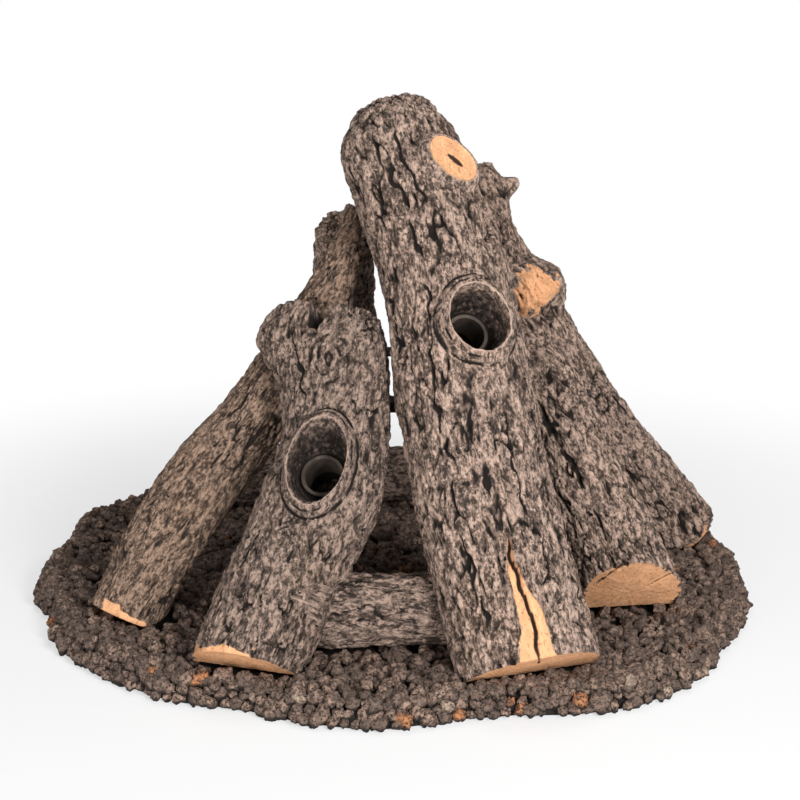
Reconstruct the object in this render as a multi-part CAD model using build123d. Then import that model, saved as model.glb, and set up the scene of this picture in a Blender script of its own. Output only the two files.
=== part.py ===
from build123d import *
import math
import os

# Gas log set: cast refractory logs stacked as a teepee round a steel stand,
# on a round bed of lava granules with a ring burner under it.
# Millimetres, +Z up, origin on the floor at the centre of the bed.
# The viewer of the front stands on the -Y side.

# Clearances
rest_gap = 0.3
fit_gap = 0.15
overrun = 40.0

# Granule bed
bed_radius = 356.0
bed_height = 26.0
bed_shoulder = 9.0

# Steel stand
ring_radius = 120.0
ring_top = 215.0
ring_bar = 10.0
leg_diameter = 10.0
leg_count = 4
leg_first_bearing = 45.0
brace_diameter = 8.0
brace_drop = 22.0
base_ring_inner_radius = 98.0
base_ring_outer_radius = 175.0
base_ring_thickness = 4.0
notch_depth = 7.0
left_notch_depth = 19.0

# Ring burner
burner_radius = 150.0
burner_tube = 12.7
burner_wall = 1.2
spoke_bearings = (0.0, 180.0)
port_diameter = 3.0
arc_port_count = 12
port_rise_angle = 55.0
hub_diameter = 36.0
hub_height = 19.0
hub_port_diameter = 5.0
inlet_bore = 18.6
inlet_depth = 14.0
clip_thickness = 1.5
clip_width = 14.0
clip_foot = 12.0
clip_count = 4
clip_first_bearing = 45.0
screw_diameter = 4.0
screw_head_diameter = 8.0
screw_head_height = 2.4

# Knots: cup, steel flame sleeve and vent to the inside of the stack
sleeve_outer_diameter = 38.1
sleeve_wall = 3.0
sleeve_length = 32.0
sleeve_stand_up = 3.0
vent_diameter = 34.0
cup_depth = 41.0
cup_floor_diameter = 46.0
collar_height = 6.0
collar_width = 11.0

# Rods cast into the logs
rod_diameter = 9.5

# Each log: reach of its foot from the centre, bearing of the foot, turn of its
# lean away from the centre, length along its middle line, and greatest width.
front_log_reach = 316.0
front_log_bearing = -68.0
front_log_skew = -1.2
front_log_length = 537.0
front_log_width = 121.0

front_left_log_reach = 309.0
front_left_log_bearing = -113.0
front_left_log_skew = 3.6
front_left_log_length = 334.0
front_left_log_width = 111.0

left_log_reach = 289.0
left_log_bearing = -145.5
left_log_skew = 0.5
left_log_length = 434.0
left_log_width = 72.0

right_front_log_reach = 277.0
right_front_log_bearing = -34.5
right_front_log_skew = -15.8
right_front_log_length = 278.0
right_front_log_width = 86.0

right_log_reach = 297.0
right_log_bearing = 14.6
right_log_skew = 5.0
right_log_length = 442.0
right_log_width = 98.0

rear_log_reach = 303.0
rear_log_bearing = 100.0
rear_log_skew = -8.5
rear_log_length = 405.0
rear_log_width = 84.0

# Logs that lie flat on the bed, in front of the stand and behind it
front_base_log_width = 64.0
front_base_log_distance = 229.0
front_base_log_length = 190.0
front_base_log_middle = -5.0
front_base_log_turn = 1.5
rear_base_log_width = 62.0
rear_base_log_distance = 182.0
rear_base_log_length = 250.0
rear_base_log_middle = -62.0
rear_base_log_turn = 4.0

# Saw cuts that aren't square to their log
left_saw_tilt = -10.0
right_front_saw_tilt = 15.0
right_front_saw_turn = -27.0
right_front_saw_share = 0.072

# Front log: knot, branch stub and split
front_knot_share = 0.556
front_knot_turn = -2.0
front_cup_width = 55.0
front_cup_tallness = 64.0
front_stub_share = 0.845
front_stub_turn = 14.0
front_stub_diameter = 45.0
front_stub_rise = 9.0
split_share = 0.195
split_turn = -15.0
split_width = 30.0
split_depth = 15.0

# Front-left log: oval knot and fork
left_knot_share = 0.53
left_knot_turn = 8.0
left_cup_width = 51.0
left_cup_tallness = 80.0
fork_width = 20.0
fork_depth = 20.0

# Far-right log: broken boss and small horn at the tip
boss_share = 0.738
boss_turn = -78.0
boss_diameter = 56.0
boss_rise = 18.0
horn_share = 0.938
horn_turn = -18.0
horn_diameter = 20.0
horn_rise = 13.0

# Sections of each log: place along its length, then width and thickness as
# shares of the log's width, then the bend to the right and outward, also as
# shares of that width.
front_log_shares = (
    (-0.10, 1.00, 1.00, 0.000, 0.000),
    (0.00, 1.00, 1.00, 0.000, 0.000),
    (0.15, 1.00, 1.00, -0.020, -0.008),
    (0.30, 0.99, 0.99, -0.036, -0.015),
    (0.44, 0.965, 0.965, -0.004, 0.000),
    (0.60, 0.95, 0.95, 0.050, 0.020),
    (0.74, 0.945, 0.945, 0.043, 0.018),
    (0.86, 0.93, 0.93, -0.025, 0.005),
    (0.95, 0.86, 0.86, -0.065, 0.000),
    (1.00, 0.62, 0.62, -0.055, 0.000),
)
front_left_log_shares = (
    (-0.10, 0.85, 0.85, 0.000, 0.000),
    (0.00, 0.85, 0.85, 0.000, 0.000),
    (0.10, 0.87, 0.87, 0.040, -0.015),
    (0.20, 0.88, 0.87, 0.080, -0.032),
    (0.34, 0.90, 0.88, 0.170, -0.060),
    (0.48, 0.94, 0.88, 0.240, -0.075),
    (0.63, 0.87, 0.78, 0.260, -0.060),
    (0.77, 0.93, 0.68, 0.170, -0.020),
    (0.91, 1.12, 0.60, -0.025, 0.035),
    (1.00, 0.93, 0.50, -0.045, 0.030),
)
left_log_shares = (
    (-0.10, 0.93, 0.93, -0.015, 0.020),
    (0.00, 0.93, 0.93, -0.015, 0.020),
    (0.12, 0.96, 0.96, -0.060, 0.100),
    (0.24, 1.00, 1.00, -0.070, 0.110),
    (0.36, 0.99, 0.99, -0.050, 0.080),
    (0.48, 0.92, 0.88, 0.000, 0.000),
    (0.61, 0.85, 0.80, 0.020, -0.020),
    (0.80, 0.72, 0.68, 0.020, 0.000),
    (0.91, 0.48, 0.45, -0.060, 0.110),
    (1.00, 0.19, 0.18, -0.190, 0.310),
)
right_front_log_shares = (
    (-0.10, 1.04, 1.04, 0.000, 0.000),
    (0.00, 1.04, 1.04, 0.000, 0.000),
    (0.21, 1.00, 1.00, 0.000, 0.000),
    (0.44, 0.96, 0.96, -0.015, -0.015),
    (0.68, 0.87, 0.87, -0.030, -0.030),
    (0.88, 0.72, 0.72, -0.020, 0.000),
    (1.00, 0.48, 0.48, 0.000, 0.010),
)
right_log_shares = (
    (-0.10, 1.00, 1.00, 0.000, 0.010),
    (0.00, 1.00, 1.00, 0.000, 0.010),
    (0.155, 0.965, 0.965, 0.006, -0.080),
    (0.31, 0.94, 0.94, 0.026, -0.195),
    (0.56, 0.87, 0.85, 0.060, -0.235),
    (0.735, 0.71, 0.71, 0.048, -0.185),
    (0.86, 0.56, 0.56, 0.020, -0.150),
    (0.95, 0.545, 0.545, 0.020, -0.030),
    (1.00, 0.38, 0.38, 0.010, 0.030),
)
rear_log_shares = (
    (-0.10, 1.00, 1.00, 0.000, 0.000),
    (0.00, 1.00, 1.00, 0.000, 0.000),
    (0.30, 0.96, 0.96, 0.015, 0.000),
    (0.60, 0.86, 0.86, 0.030, -0.010),
    (0.85, 0.72, 0.72, 0.010, 0.000),
    (1.00, 0.66, 0.66, 0.000, 0.000),
)
base_log_shares = (
    (0.00, 0.92, 0.92, 0.000, 0.000),
    (0.25, 1.00, 1.00, 0.020, 0.000),
    (0.60, 0.97, 0.97, -0.020, 0.000),
    (1.00, 0.90, 0.90, 0.000, 0.000),
)

# Edge of the bed: bearing in degrees, then the radius there as a share of the bed's radius
bed_edge_shares = (
    (0, 0.983),
    (12, 0.980),
    (25, 1.000),
    (45, 0.995),
    (90, 1.012),
    (125, 0.985),
    (145, 1.020),
    (157, 1.030),
    (166, 0.975),
    (175, 0.968),
    (183, 0.984),
    (192, 0.980),
    (200, 0.950),
    (208, 0.985),
    (217, 0.985),
    (228, 0.995),
    (238, 0.997),
    (248, 0.960),
    (258, 0.990),
    (268, 1.012),
    (280, 0.965),
    (288, 0.975),
    (296, 1.025),
    (305, 1.060),
    (313, 1.045),
    (320, 1.030),
    (328, 0.990),
    (338, 0.992),
    (347, 0.985),
    (355, 0.978),
)

# Rods: place in the log's section (outward, right) as shares of its width,
# and the stretch of the log that they fill as shares of its length
front_rod_shares = (-0.10, 0.31, 0.10, 0.88)
front_left_rod_shares = (-0.24, -0.02, 0.16, 0.86)
left_rod_shares = (0.00, 0.00, 0.12, 0.76)
right_rod_shares = (-0.12, 0.02, 0.12, 0.80)
plain_rod_shares = (-0.05, 0.00, 0.14, 0.84)
short_rod_shares = (-0.05, 0.00, 0.27, 0.74)


def direction(bearing):
    """Level unit vector at a bearing, in degrees from +X."""
    return Vector(math.cos(math.radians(bearing)), math.sin(math.radians(bearing)), 0)


def sample(shares, along, column):
    """Value of one column of a section table at a place along the log."""
    for low, high in zip(shares, shares[1:]):
        if along <= high[0]:
            part = (along - low[0]) / (high[0] - low[0])
            return low[column] + part * (high[column] - low[column])
    return shares[-1][column]


def lean_on_ring(reach, length, width, shares, depth):
    """Lean, in degrees, at which the ring's edge lies a notch's depth inside the log."""
    run = reach - ring_radius
    rise = ring_top - bed_height
    span = math.hypot(run, rise)
    drop = width / 2 - depth
    for _ in range(4):
        along = math.sqrt(span ** 2 - drop ** 2) / length
        half = width * (sample(shares, along, 2) / 2 - sample(shares, along, 4))
        drop = half - depth
    return math.degrees(math.atan2(rise, run) + math.asin(drop / span))


def log_plane(reach, bearing, skew, length, width, shares, depth=notch_depth):
    """Frame of a leaning log: X outward from its upper side, Y to the right, Z along it."""
    lean = math.radians(lean_on_ring(reach, length, width, shares, depth))
    foot = direction(bearing) * reach + Vector(0, 0, bed_height)
    away = direction(bearing + skew)
    up = Vector(0, 0, 1)
    along = up * math.sin(lean) - away * math.cos(lean)
    outward = away * math.sin(lean) + up * math.cos(lean)
    return Plane(origin=foot, x_dir=outward, z_dir=along)


def trunk(length, width, shares):
    """Bent, tapering body of a log in its own frame."""
    sections = []
    for along, wide, thick, right, outward in shares:
        centre = Plane.XY.offset(along * length)
        oval = Rot(0, 0, 90) * Ellipse(width * wide / 2, width * thick / 2)
        sections.append(centre * Pos(width * outward, width * right) * oval)
    return loft(sections)


def turned(turn, place, outward=0.0, right=0.0):
    """Frame on the log's middle line with its Z pointing out of the bark."""
    angle = math.radians(turn)
    out = Vector(math.cos(angle), math.sin(angle), 0)
    return Plane(origin=(outward, right, place), x_dir=(0, 0, 1), z_dir=out)


def on_trunk(length, width, shares, along, turn):
    """Frame as above, at a place along a log, and the bark's radius there."""
    outward = width * sample(shares, along, 4)
    right = width * sample(shares, along, 3)
    radius = width * sample(shares, along, 2) / 2
    return turned(turn, along * length, outward, right), radius


def saw_off(body, length, width, place, tilt, turn):
    """Cut the foot of a log by a plane: tilt faces it outward, turn to the right."""
    block = Box(2 * width + overrun, 2 * width + overrun, length, align=(Align.CENTER, Align.CENTER, Align.MAX))
    return body - Pos(0, 0, place) * Rot(turn, -tilt, 0) * block


def seat(body):
    """Cut a placed log where it stands on the bed and where it rests on the ring."""
    floor_block = Box(4 * bed_radius, 4 * bed_radius, 4 * bed_radius, align=(Align.CENTER, Align.CENTER, Align.MAX))
    body = body - Pos(0, 0, bed_height + rest_gap) * floor_block
    ring_block = Cylinder(ring_radius + rest_gap, ring_top + rest_gap, align=(Align.CENTER, Align.CENTER, Align.MIN))
    return body - ring_block


def knot_collar(frame, radius, cup_width, cup_tallness):
    """Raised bark round a knot hole."""
    low = Ellipse(cup_tallness / 2 + collar_width, cup_width / 2 + collar_width)
    high = Ellipse(cup_tallness / 2 + collar_width / 2, cup_width / 2 + collar_width / 2)
    return loft([frame * low, frame * Pos(0, 0, radius + collar_height) * high])


def knot_hole(frame, radius, cup_width, cup_tallness):
    """Everything that is hollow in a knot: cup, sleeve bore and vent."""
    mouth = radius + collar_height
    floor = mouth - cup_depth
    spread = 1 + fit_gap / cup_depth
    top = Ellipse(spread * cup_tallness / 2, spread * cup_width / 2)
    low = Ellipse(cup_floor_diameter / 2, cup_floor_diameter / 2)
    cup = loft([frame * Pos(0, 0, floor) * low, frame * Pos(0, 0, mouth + fit_gap) * top])
    bore_depth = sleeve_length - sleeve_stand_up
    bore = Cylinder(sleeve_outer_diameter / 2 + fit_gap, bore_depth, align=(Align.CENTER, Align.CENTER, Align.MAX))
    vent = Cylinder(vent_diameter / 2, 2 * radius + overrun, align=(Align.CENTER, Align.CENTER, Align.MAX))
    return cup + frame * Pos(0, 0, floor) * bore + frame * Pos(0, 0, floor) * vent


def knot_sleeve(frame, radius):
    """Steel tube that stands in the knot's bore."""
    bottom = radius + collar_height - cup_depth - sleeve_length + sleeve_stand_up
    tube = Cylinder(sleeve_outer_diameter / 2, sleeve_length, align=(Align.CENTER, Align.CENTER, Align.MIN))
    hole = Cylinder(sleeve_outer_diameter / 2 - sleeve_wall, sleeve_length + overrun)
    return frame * Pos(0, 0, bottom) * (tube - hole)


def stub(frame, radius, diameter, rise):
    """Short branch stump, a little narrower at its sawn face."""
    foot = Circle(0.6 * diameter)
    face = Circle(diameter / 2)
    return loft([frame * foot, frame * Pos(0, 0, radius + rise) * face])


def cast_rod(length, width, rod_shares, gap):
    """Straight rod inside a log, or with a gap the hole that holds it."""
    outward, right, low, high = rod_shares
    bar = Cylinder(rod_diameter / 2 + gap, (high - low) * length + 2 * gap, align=(Align.CENTER, Align.CENTER, Align.MIN))
    return Pos(width * outward, width * right, low * length - gap) * bar


def finish_log(plane, body, length, width, rod_shares):
    """Place a log, seat it, and return it with its cast-in rod."""
    body = body - cast_rod(length, width, rod_shares, fit_gap)
    return seat(plane * body), plane * cast_rod(length, width, rod_shares, 0.0)


def front_log():
    """Tall front log with a knot, a branch stub and a split at its foot."""
    size = (front_log_length, front_log_width, front_log_shares)
    plane = log_plane(front_log_reach, front_log_bearing, front_log_skew, *size)
    knot, radius = on_trunk(*size, front_knot_share, front_knot_turn)
    branch, branch_radius = on_trunk(*size, front_stub_share, front_stub_turn)
    body = trunk(*size) + stub(branch, branch_radius, front_stub_diameter, front_stub_rise)
    body = body + knot_collar(knot, radius, front_cup_width, front_cup_tallness)
    body = body - knot_hole(knot, radius, front_cup_width, front_cup_tallness)
    body = saw_off(body, front_log_length, front_log_width, 0.0, 0.0, 0.0)
    tip = split_share * front_log_length
    wedge = Polygon((-overrun, split_width / 2), (-overrun, -split_width / 2), (tip, 0), align=None)
    depth = front_log_width / 2 - split_depth
    cut = extrude(turned(split_turn, 0.0) * Pos(0, 0, depth) * wedge, amount=split_depth + overrun)
    log, rod = finish_log(plane, body - cut, front_log_length, front_log_width, front_rod_shares)
    return log, rod, plane * knot_sleeve(knot, radius)


def front_left_log():
    """Shorter log with an oval knot and a forked top."""
    size = (front_left_log_length, front_left_log_width, front_left_log_shares)
    plane = log_plane(front_left_log_reach, front_left_log_bearing, front_left_log_skew, *size)
    knot, radius = on_trunk(*size, left_knot_share, left_knot_turn)
    body = trunk(*size) + knot_collar(knot, radius, left_cup_width, left_cup_tallness)
    body = body - knot_hole(knot, radius, left_cup_width, left_cup_tallness)
    body = saw_off(body, front_left_log_length, front_left_log_width, 0.0, 0.0, 0.0)
    groove = Cylinder(fork_width / 2, 2 * front_left_log_width, rotation=(0, 90, 0))
    slot = Box(2 * front_left_log_width, fork_width, fork_depth, align=(Align.CENTER, Align.CENTER, Align.MIN))
    fork = Pos(0, 0, front_left_log_length - fork_depth) * (groove + slot)
    log, rod = finish_log(plane, body - fork, front_left_log_length, front_left_log_width, front_left_rod_shares)
    return log, rod, plane * knot_sleeve(knot, radius)


def left_log():
    """Thin log that ends in a broken horn."""
    size = (left_log_length, left_log_width, left_log_shares)
    plane = log_plane(left_log_reach, left_log_bearing, left_log_skew, *size, left_notch_depth)
    body = saw_off(trunk(*size), left_log_length, left_log_width, 0.0, left_saw_tilt, 0.0)
    return finish_log(plane, body, left_log_length, left_log_width, left_rod_shares)


def right_front_log():
    """Log whose large sawn end faces the viewer."""
    size = (right_front_log_length, right_front_log_width, right_front_log_shares)
    plane = log_plane(right_front_log_reach, right_front_log_bearing, right_front_log_skew, *size)
    place = right_front_saw_share * right_front_log_length
    body = saw_off(trunk(*size), right_front_log_length, right_front_log_width, place, right_front_saw_tilt, right_front_saw_turn)
    return finish_log(plane, body, right_front_log_length, right_front_log_width, plain_rod_shares)


def right_log():
    """Far-right log with a broken boss and a horn at its tip."""
    size = (right_log_length, right_log_width, right_log_shares)
    plane = log_plane(right_log_reach, right_log_bearing, right_log_skew, *size)
    boss, boss_radius = on_trunk(*size, boss_share, boss_turn)
    horn, horn_radius = on_trunk(*size, horn_share, horn_turn)
    body = trunk(*size) + stub(boss, boss_radius, boss_diameter, boss_rise)
    body = body + stub(horn, horn_radius, horn_diameter, horn_rise)
    body = saw_off(body, right_log_length, right_log_width, 0.0, 0.0, 0.0)
    return finish_log(plane, body, right_log_length, right_log_width, right_rod_shares)


def rear_log():
    """Log that leans from behind, sawn flat at its top."""
    size = (rear_log_length, rear_log_width, rear_log_shares)
    plane = log_plane(rear_log_reach, rear_log_bearing, rear_log_skew, *size)
    body = saw_off(trunk(*size), rear_log_length, rear_log_width, 0.0, 0.0, 0.0)
    return finish_log(plane, body, rear_log_length, rear_log_width, plain_rod_shares)


def base_log(length, width, middle, distance, turn, rod_shares):
    """Log lying on the bed, from left to right, and its rod."""
    plane = Plane(origin=(middle, distance, bed_height + rest_gap + width / 2), x_dir=(0, 0, 1), z_dir=(1, 0, 0))
    placed = plane * Rot(turn, 0, 0) * Pos(0, 0, -length / 2)
    body = placed * (trunk(length, width, base_log_shares) - cast_rod(length, width, rod_shares, fit_gap))
    return body, placed * cast_rod(length, width, rod_shares, 0.0)


def standing(outer, inner, low, high):
    """Upright ring or, with no inner radius, disc."""
    body = Cylinder(outer, high - low, align=(Align.CENTER, Align.CENTER, Align.MIN))
    if inner > 0:
        body = body - Cylinder(inner, high - low, align=(Align.CENTER, Align.CENTER, Align.MIN))
    return Pos(0, 0, low) * body


def around(count, first, piece):
    """Copies of a piece spaced evenly about the centre."""
    return [Rot(0, 0, first + 360 * index / count) * piece for index in range(count)]


ring_middle = ring_radius - ring_bar / 2
ring_height = ring_top - ring_bar / 2
burner_height = base_ring_thickness + burner_tube / 2 + fit_gap
channel_top = burner_height + burner_tube / 2 + 2 * clip_thickness
strap_inner = burner_tube / 2 + rest_gap
strap_outer = strap_inner + clip_thickness
clip_reach = strap_outer + clip_foot
screw_reach = strap_outer + clip_foot / 2


def stand_leg():
    """Round post from the base ring to the top ring, coped to the ring's bar."""
    post = Pos(ring_middle, 0, 0) * standing(leg_diameter / 2, 0, base_ring_thickness, ring_height)
    return post - Pos(0, 0, ring_height) * Torus(ring_middle, ring_bar / 2)


def stand_brace(bearing, height):
    """Rod between two opposite legs, coped to them."""
    rod = Pos(0, 0, height) * Rot(0, 90, 0) * Cylinder(brace_diameter / 2, 2 * ring_middle)
    for side in (ring_middle, -ring_middle):
        rod = rod - Pos(side, 0, 0) * standing(leg_diameter / 2, 0, 0, ring_height)
    return Rot(0, 0, bearing) * rod


def screw_places():
    """Radial places of the two screws of a clip."""
    return (burner_radius - screw_reach, burner_radius + screw_reach)


def clip_screw(place):
    """Round-head screw through a clip's foot into the base ring."""
    seat_height = base_ring_thickness + clip_thickness
    head = standing(screw_head_diameter / 2, 0, seat_height, seat_height + screw_head_height)
    shank = standing(screw_diameter / 2, 0, 0, seat_height)
    return Pos(place, 0, 0) * (head + shank)


def burner_clip():
    """Strap over the burner tube, with a foot on each side."""
    rise = burner_height - base_ring_thickness
    hump = Cylinder(strap_outer, clip_width, rotation=(90, 0, 0)) - Pos(0, 0, -burner_tube) * Box(
        2 * strap_outer, clip_width, 2 * burner_tube
    )
    sides = Box(2 * strap_outer, clip_width, rise, align=(Align.CENTER, Align.CENTER, Align.MAX))
    feet = Box(2 * clip_reach, clip_width, clip_thickness, align=(Align.CENTER, Align.CENTER, Align.MIN))
    body = hump + sides + Pos(0, 0, -rise) * feet
    tunnel = Cylinder(strap_inner, clip_width, rotation=(90, 0, 0))
    well = Box(2 * strap_inner, clip_width, rise, align=(Align.CENTER, Align.CENTER, Align.MAX))
    body = Pos(burner_radius, 0, burner_height) * (body - tunnel - well)
    for place in screw_places():
        body = body - Pos(place, 0, 0) * standing(screw_diameter / 2 + fit_gap, 0, 0, 2 * burner_height)
    return body


def base_ring():
    """Flat ring on the floor, tapped for the clip screws."""
    body = standing(base_ring_outer_radius, base_ring_inner_radius, 0, base_ring_thickness)
    for place in screw_places():
        hole = Pos(place, 0, 0) * standing(screw_diameter / 2 + fit_gap, 0, 0, base_ring_thickness)
        for cut in around(clip_count, clip_first_bearing, hole):
            body = body - cut
    return body


def burner_arc(bearing):
    """Half ring of tube with slanting ports and, in its middle, an opening to a spoke."""
    wall = Circle(burner_tube / 2) - Circle(burner_tube / 2 - burner_wall)
    tube = revolve(Plane.XZ * Pos(burner_radius, 0, 0) * wall, Axis.Z, revolution_arc=180)
    port = Cylinder(port_diameter / 2, burner_tube, align=(Align.CENTER, Align.CENTER, Align.MIN))
    port = Pos(burner_radius, 0, 0) * Rot(0, 90 - port_rise_angle, 0) * port
    step = 180 / arc_port_count
    for index in range(arc_port_count):
        tube = tube - Rot(0, 0, (index + 0.5) * step) * port
    opening = Cylinder(burner_tube / 2 - burner_wall, burner_tube / 2, align=(Align.CENTER, Align.CENTER, Align.MAX))
    opening = Pos(burner_radius, 0, 0) * Rot(0, 90, 0) * opening
    tube = tube - Rot(0, 0, 90) * opening
    return Rot(0, 0, bearing - 90) * Pos(0, 0, burner_height) * tube


def burner_hub():
    """Round hub with a threaded inlet below and a side port for each spoke."""
    body = standing(hub_diameter / 2, 0, 0, hub_height) - standing(inlet_bore / 2, 0, 0, inlet_depth)
    side = Cylinder(hub_port_diameter / 2, hub_diameter / 2, align=(Align.CENTER, Align.CENTER, Align.MIN))
    for bearing in spoke_bearings:
        body = body - Rot(0, 0, bearing) * Pos(0, 0, burner_height) * Rot(0, 90, 0) * side
    return body


def burner_spoke(bearing):
    """Tube from the hub to the burner ring, coped at both ends."""
    outer = Cylinder(burner_tube / 2, burner_radius, align=(Align.CENTER, Align.CENTER, Align.MIN))
    inner = Cylinder(burner_tube / 2 - burner_wall, burner_radius, align=(Align.CENTER, Align.CENTER, Align.MIN))
    tube = Rot(0, 90, 0) * (outer - inner) - Torus(burner_radius, burner_tube / 2)
    tube = tube - Cylinder(hub_diameter / 2, 2 * burner_tube)
    return Rot(0, 0, bearing) * Pos(0, 0, burner_height) * tube


def bed_outline(shoulder):
    """Closed edge of the bed, drawn in by a shoulder."""
    points = [direction(bearing) * (bed_radius * share - shoulder) for bearing, share in bed_edge_shares]
    return make_face(Spline(*points, periodic=True))


def lava_bed():
    """Bed of granules with sloping edges, hollow round the burner and stand."""
    body = loft([bed_outline(0.0), Pos(0, 0, bed_height) * bed_outline(bed_shoulder)])
    body = body - standing(base_ring_outer_radius + fit_gap, base_ring_inner_radius - fit_gap, 0, channel_top)
    body = body - standing(hub_diameter / 2 + fit_gap, 0, 0, hub_height + fit_gap)
    lane = Box(base_ring_inner_radius, burner_tube + 2 * fit_gap, channel_top, align=(Align.MIN, Align.CENTER, Align.MIN))
    for bearing in spoke_bearings:
        body = body - Rot(0, 0, bearing) * lane
    hole = Pos(ring_middle, 0, 0) * standing(leg_diameter / 2 + fit_gap, 0, 0, bed_height)
    for cut in around(leg_count, leg_first_bearing, hole):
        body = body - cut
    return body


def scribed(body, reach, bearing, skew, length, width, shares):
    """Hollow one log where another crosses it."""
    plane = log_plane(reach, bearing, skew, length, width, shares)
    return body - plane * trunk(length, width + 2 * rest_gap, shares)


nodes = {}
nodes["front_log"], nodes["front_log_rod"], nodes["front_log_sleeve"] = front_log()
nodes["front_left_log"], nodes["front_left_log_rod"], nodes["front_left_log_sleeve"] = front_left_log()
left, nodes["left_log_rod"] = left_log()
nodes["left_log"] = scribed(
    left,
    front_left_log_reach,
    front_left_log_bearing,
    front_left_log_skew,
    front_left_log_length,
    front_left_log_width,
    front_left_log_shares,
)
nodes["right_front_log"], nodes["right_front_log_rod"] = right_front_log()
nodes["right_log"], nodes["right_log_rod"] = right_log()
nodes["rear_log"], nodes["rear_log_rod"] = rear_log()

front_base, front_base_rod = base_log(
    front_base_log_length,
    front_base_log_width,
    front_base_log_middle,
    -front_base_log_distance,
    front_base_log_turn,
    short_rod_shares,
)
front_base = scribed(
    front_base, front_log_reach, front_log_bearing, front_log_skew, front_log_length, front_log_width, front_log_shares
)
front_base = scribed(
    front_base,
    front_left_log_reach,
    front_left_log_bearing,
    front_left_log_skew,
    front_left_log_length,
    front_left_log_width,
    front_left_log_shares,
)
nodes["front_base_log"] = front_base
nodes["front_base_log_rod"] = front_base_rod
nodes["rear_base_log"], nodes["rear_base_log_rod"] = base_log(
    rear_base_log_length,
    rear_base_log_width,
    rear_base_log_middle,
    rear_base_log_distance,
    rear_base_log_turn,
    plain_rod_shares,
)

nodes["stand_top_ring"] = Pos(0, 0, ring_height) * Torus(ring_middle, ring_bar / 2)
nodes["stand_base_ring"] = base_ring()
for number, leg in enumerate(around(leg_count, leg_first_bearing, stand_leg()), start=1):
    nodes[f"stand_leg_{number}"] = leg
nodes["stand_lower_brace"] = stand_brace(leg_first_bearing, ring_height - brace_drop - brace_diameter)
nodes["stand_upper_brace"] = stand_brace(leg_first_bearing + 90, ring_height - brace_drop)

nodes["burner_right_arc"] = burner_arc(spoke_bearings[0])
nodes["burner_left_arc"] = burner_arc(spoke_bearings[1])
nodes["burner_hub"] = burner_hub()
nodes["burner_right_spoke"] = burner_spoke(spoke_bearings[0])
nodes["burner_left_spoke"] = burner_spoke(spoke_bearings[1])
for number, clip in enumerate(around(clip_count, clip_first_bearing, burner_clip()), start=1):
    nodes[f"burner_clip_{number}"] = clip
screws = []
for place in screw_places():
    screws = screws + around(clip_count, clip_first_bearing, clip_screw(place))
nodes["clip_screws"] = Compound(children=screws)
nodes["lava_bed"] = lava_bed()

os.makedirs("parts", exist_ok=True)
for name, solid in nodes.items():
    export_step(solid, f"parts/{name}.step")
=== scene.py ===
import math
from collections import namedtuple
from types import SimpleNamespace
import bpy
import numpy as np
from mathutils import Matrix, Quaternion, Vector


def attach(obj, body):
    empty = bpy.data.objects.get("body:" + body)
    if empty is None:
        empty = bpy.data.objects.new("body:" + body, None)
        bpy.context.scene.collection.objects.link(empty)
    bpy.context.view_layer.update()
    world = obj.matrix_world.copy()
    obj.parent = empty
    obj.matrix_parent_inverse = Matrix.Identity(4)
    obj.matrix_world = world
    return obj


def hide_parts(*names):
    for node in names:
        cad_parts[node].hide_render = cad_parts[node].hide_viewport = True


# Gas log set: bark-covered cast logs leaning on a stand, over a bed of lava granules.
# Shapes are worked out in millimetres, in the same frame as the CAD, and made in metres.
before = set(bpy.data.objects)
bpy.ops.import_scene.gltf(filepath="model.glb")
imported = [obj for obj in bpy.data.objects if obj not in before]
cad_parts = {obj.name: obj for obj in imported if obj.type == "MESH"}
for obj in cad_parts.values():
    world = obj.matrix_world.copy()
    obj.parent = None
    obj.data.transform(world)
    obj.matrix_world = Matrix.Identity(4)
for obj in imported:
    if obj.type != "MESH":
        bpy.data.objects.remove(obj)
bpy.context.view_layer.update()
scene = bpy.context.scene

MM = 0.001
TAU = 2 * math.pi
# Metres of the materials' grain for a mm across and along a log, and the gap between pieces that touch
GRAIN_STRETCH = np.array([0.001, 0.001, 0.0006])
REST = 0.3
BED_RADIUS = 356.0
BED_TOP = 26.0
RING_RADIUS = 120.0
RING_TOP = 215.0

# Knots and branch stub: half length and half width, then their rims, cups and bores
FRONT_KNOT = (32.0, 27.5)
LEFT_KNOT = (40.0, 25.5)
STUB = (22.5, 22.5)
STUB_OVAL = 0.15
STUB_TURN = 129.0
STUB_RISE = 9.0
COLLAR = 6.0
CUP_DEPTH = 41.0
CUP_FLOOR = 23.0
BORE = 18.7
BORE_DEPTH = 30.0
VENT = 17.0
PATCH_COLUMNS = 230
PATCH_RINGS = 24
KNOT_PITCH = 5.0
Spot = namedtuple("Spot", "place side out radius")

# ---- noise
GRADIENTS = np.random.default_rng(11).normal(size=(256, 3))
GRADIENTS /= np.linalg.norm(GRADIENTS, axis=1)[:, None]
NEIGHBOURS = [np.array([x, y, z]) for x in (-1, 0, 1) for y in (-1, 0, 1) for z in (-1, 0, 1)]
CORNERS = [corner for corner in NEIGHBOURS if corner.min() >= 0]
PLATE_BEND = 0.55
GROOVE_WIDTH = 0.2
FURROW_WIDTH = 0.062
LUMP_SIZE = np.array([4.6, 4.6, 8.5])


def scramble(c, seed):
    """Whole-number hash of lattice corners."""
    c = c.astype(np.int64).astype(np.uint32)
    h = c[:, 0] * np.uint32(0x9E3779B1)
    h ^= c[:, 1] * np.uint32(0x85EBCA77)
    h ^= c[:, 2] * np.uint32(0xC2B2AE3D)
    h += np.uint32(seed * 7919 + 13)
    h ^= h >> np.uint32(15)
    h *= np.uint32(0x2C1B3C6D)
    h ^= h >> np.uint32(12)
    h *= np.uint32(0x297A2D39)
    h ^= h >> np.uint32(15)
    return h


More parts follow.
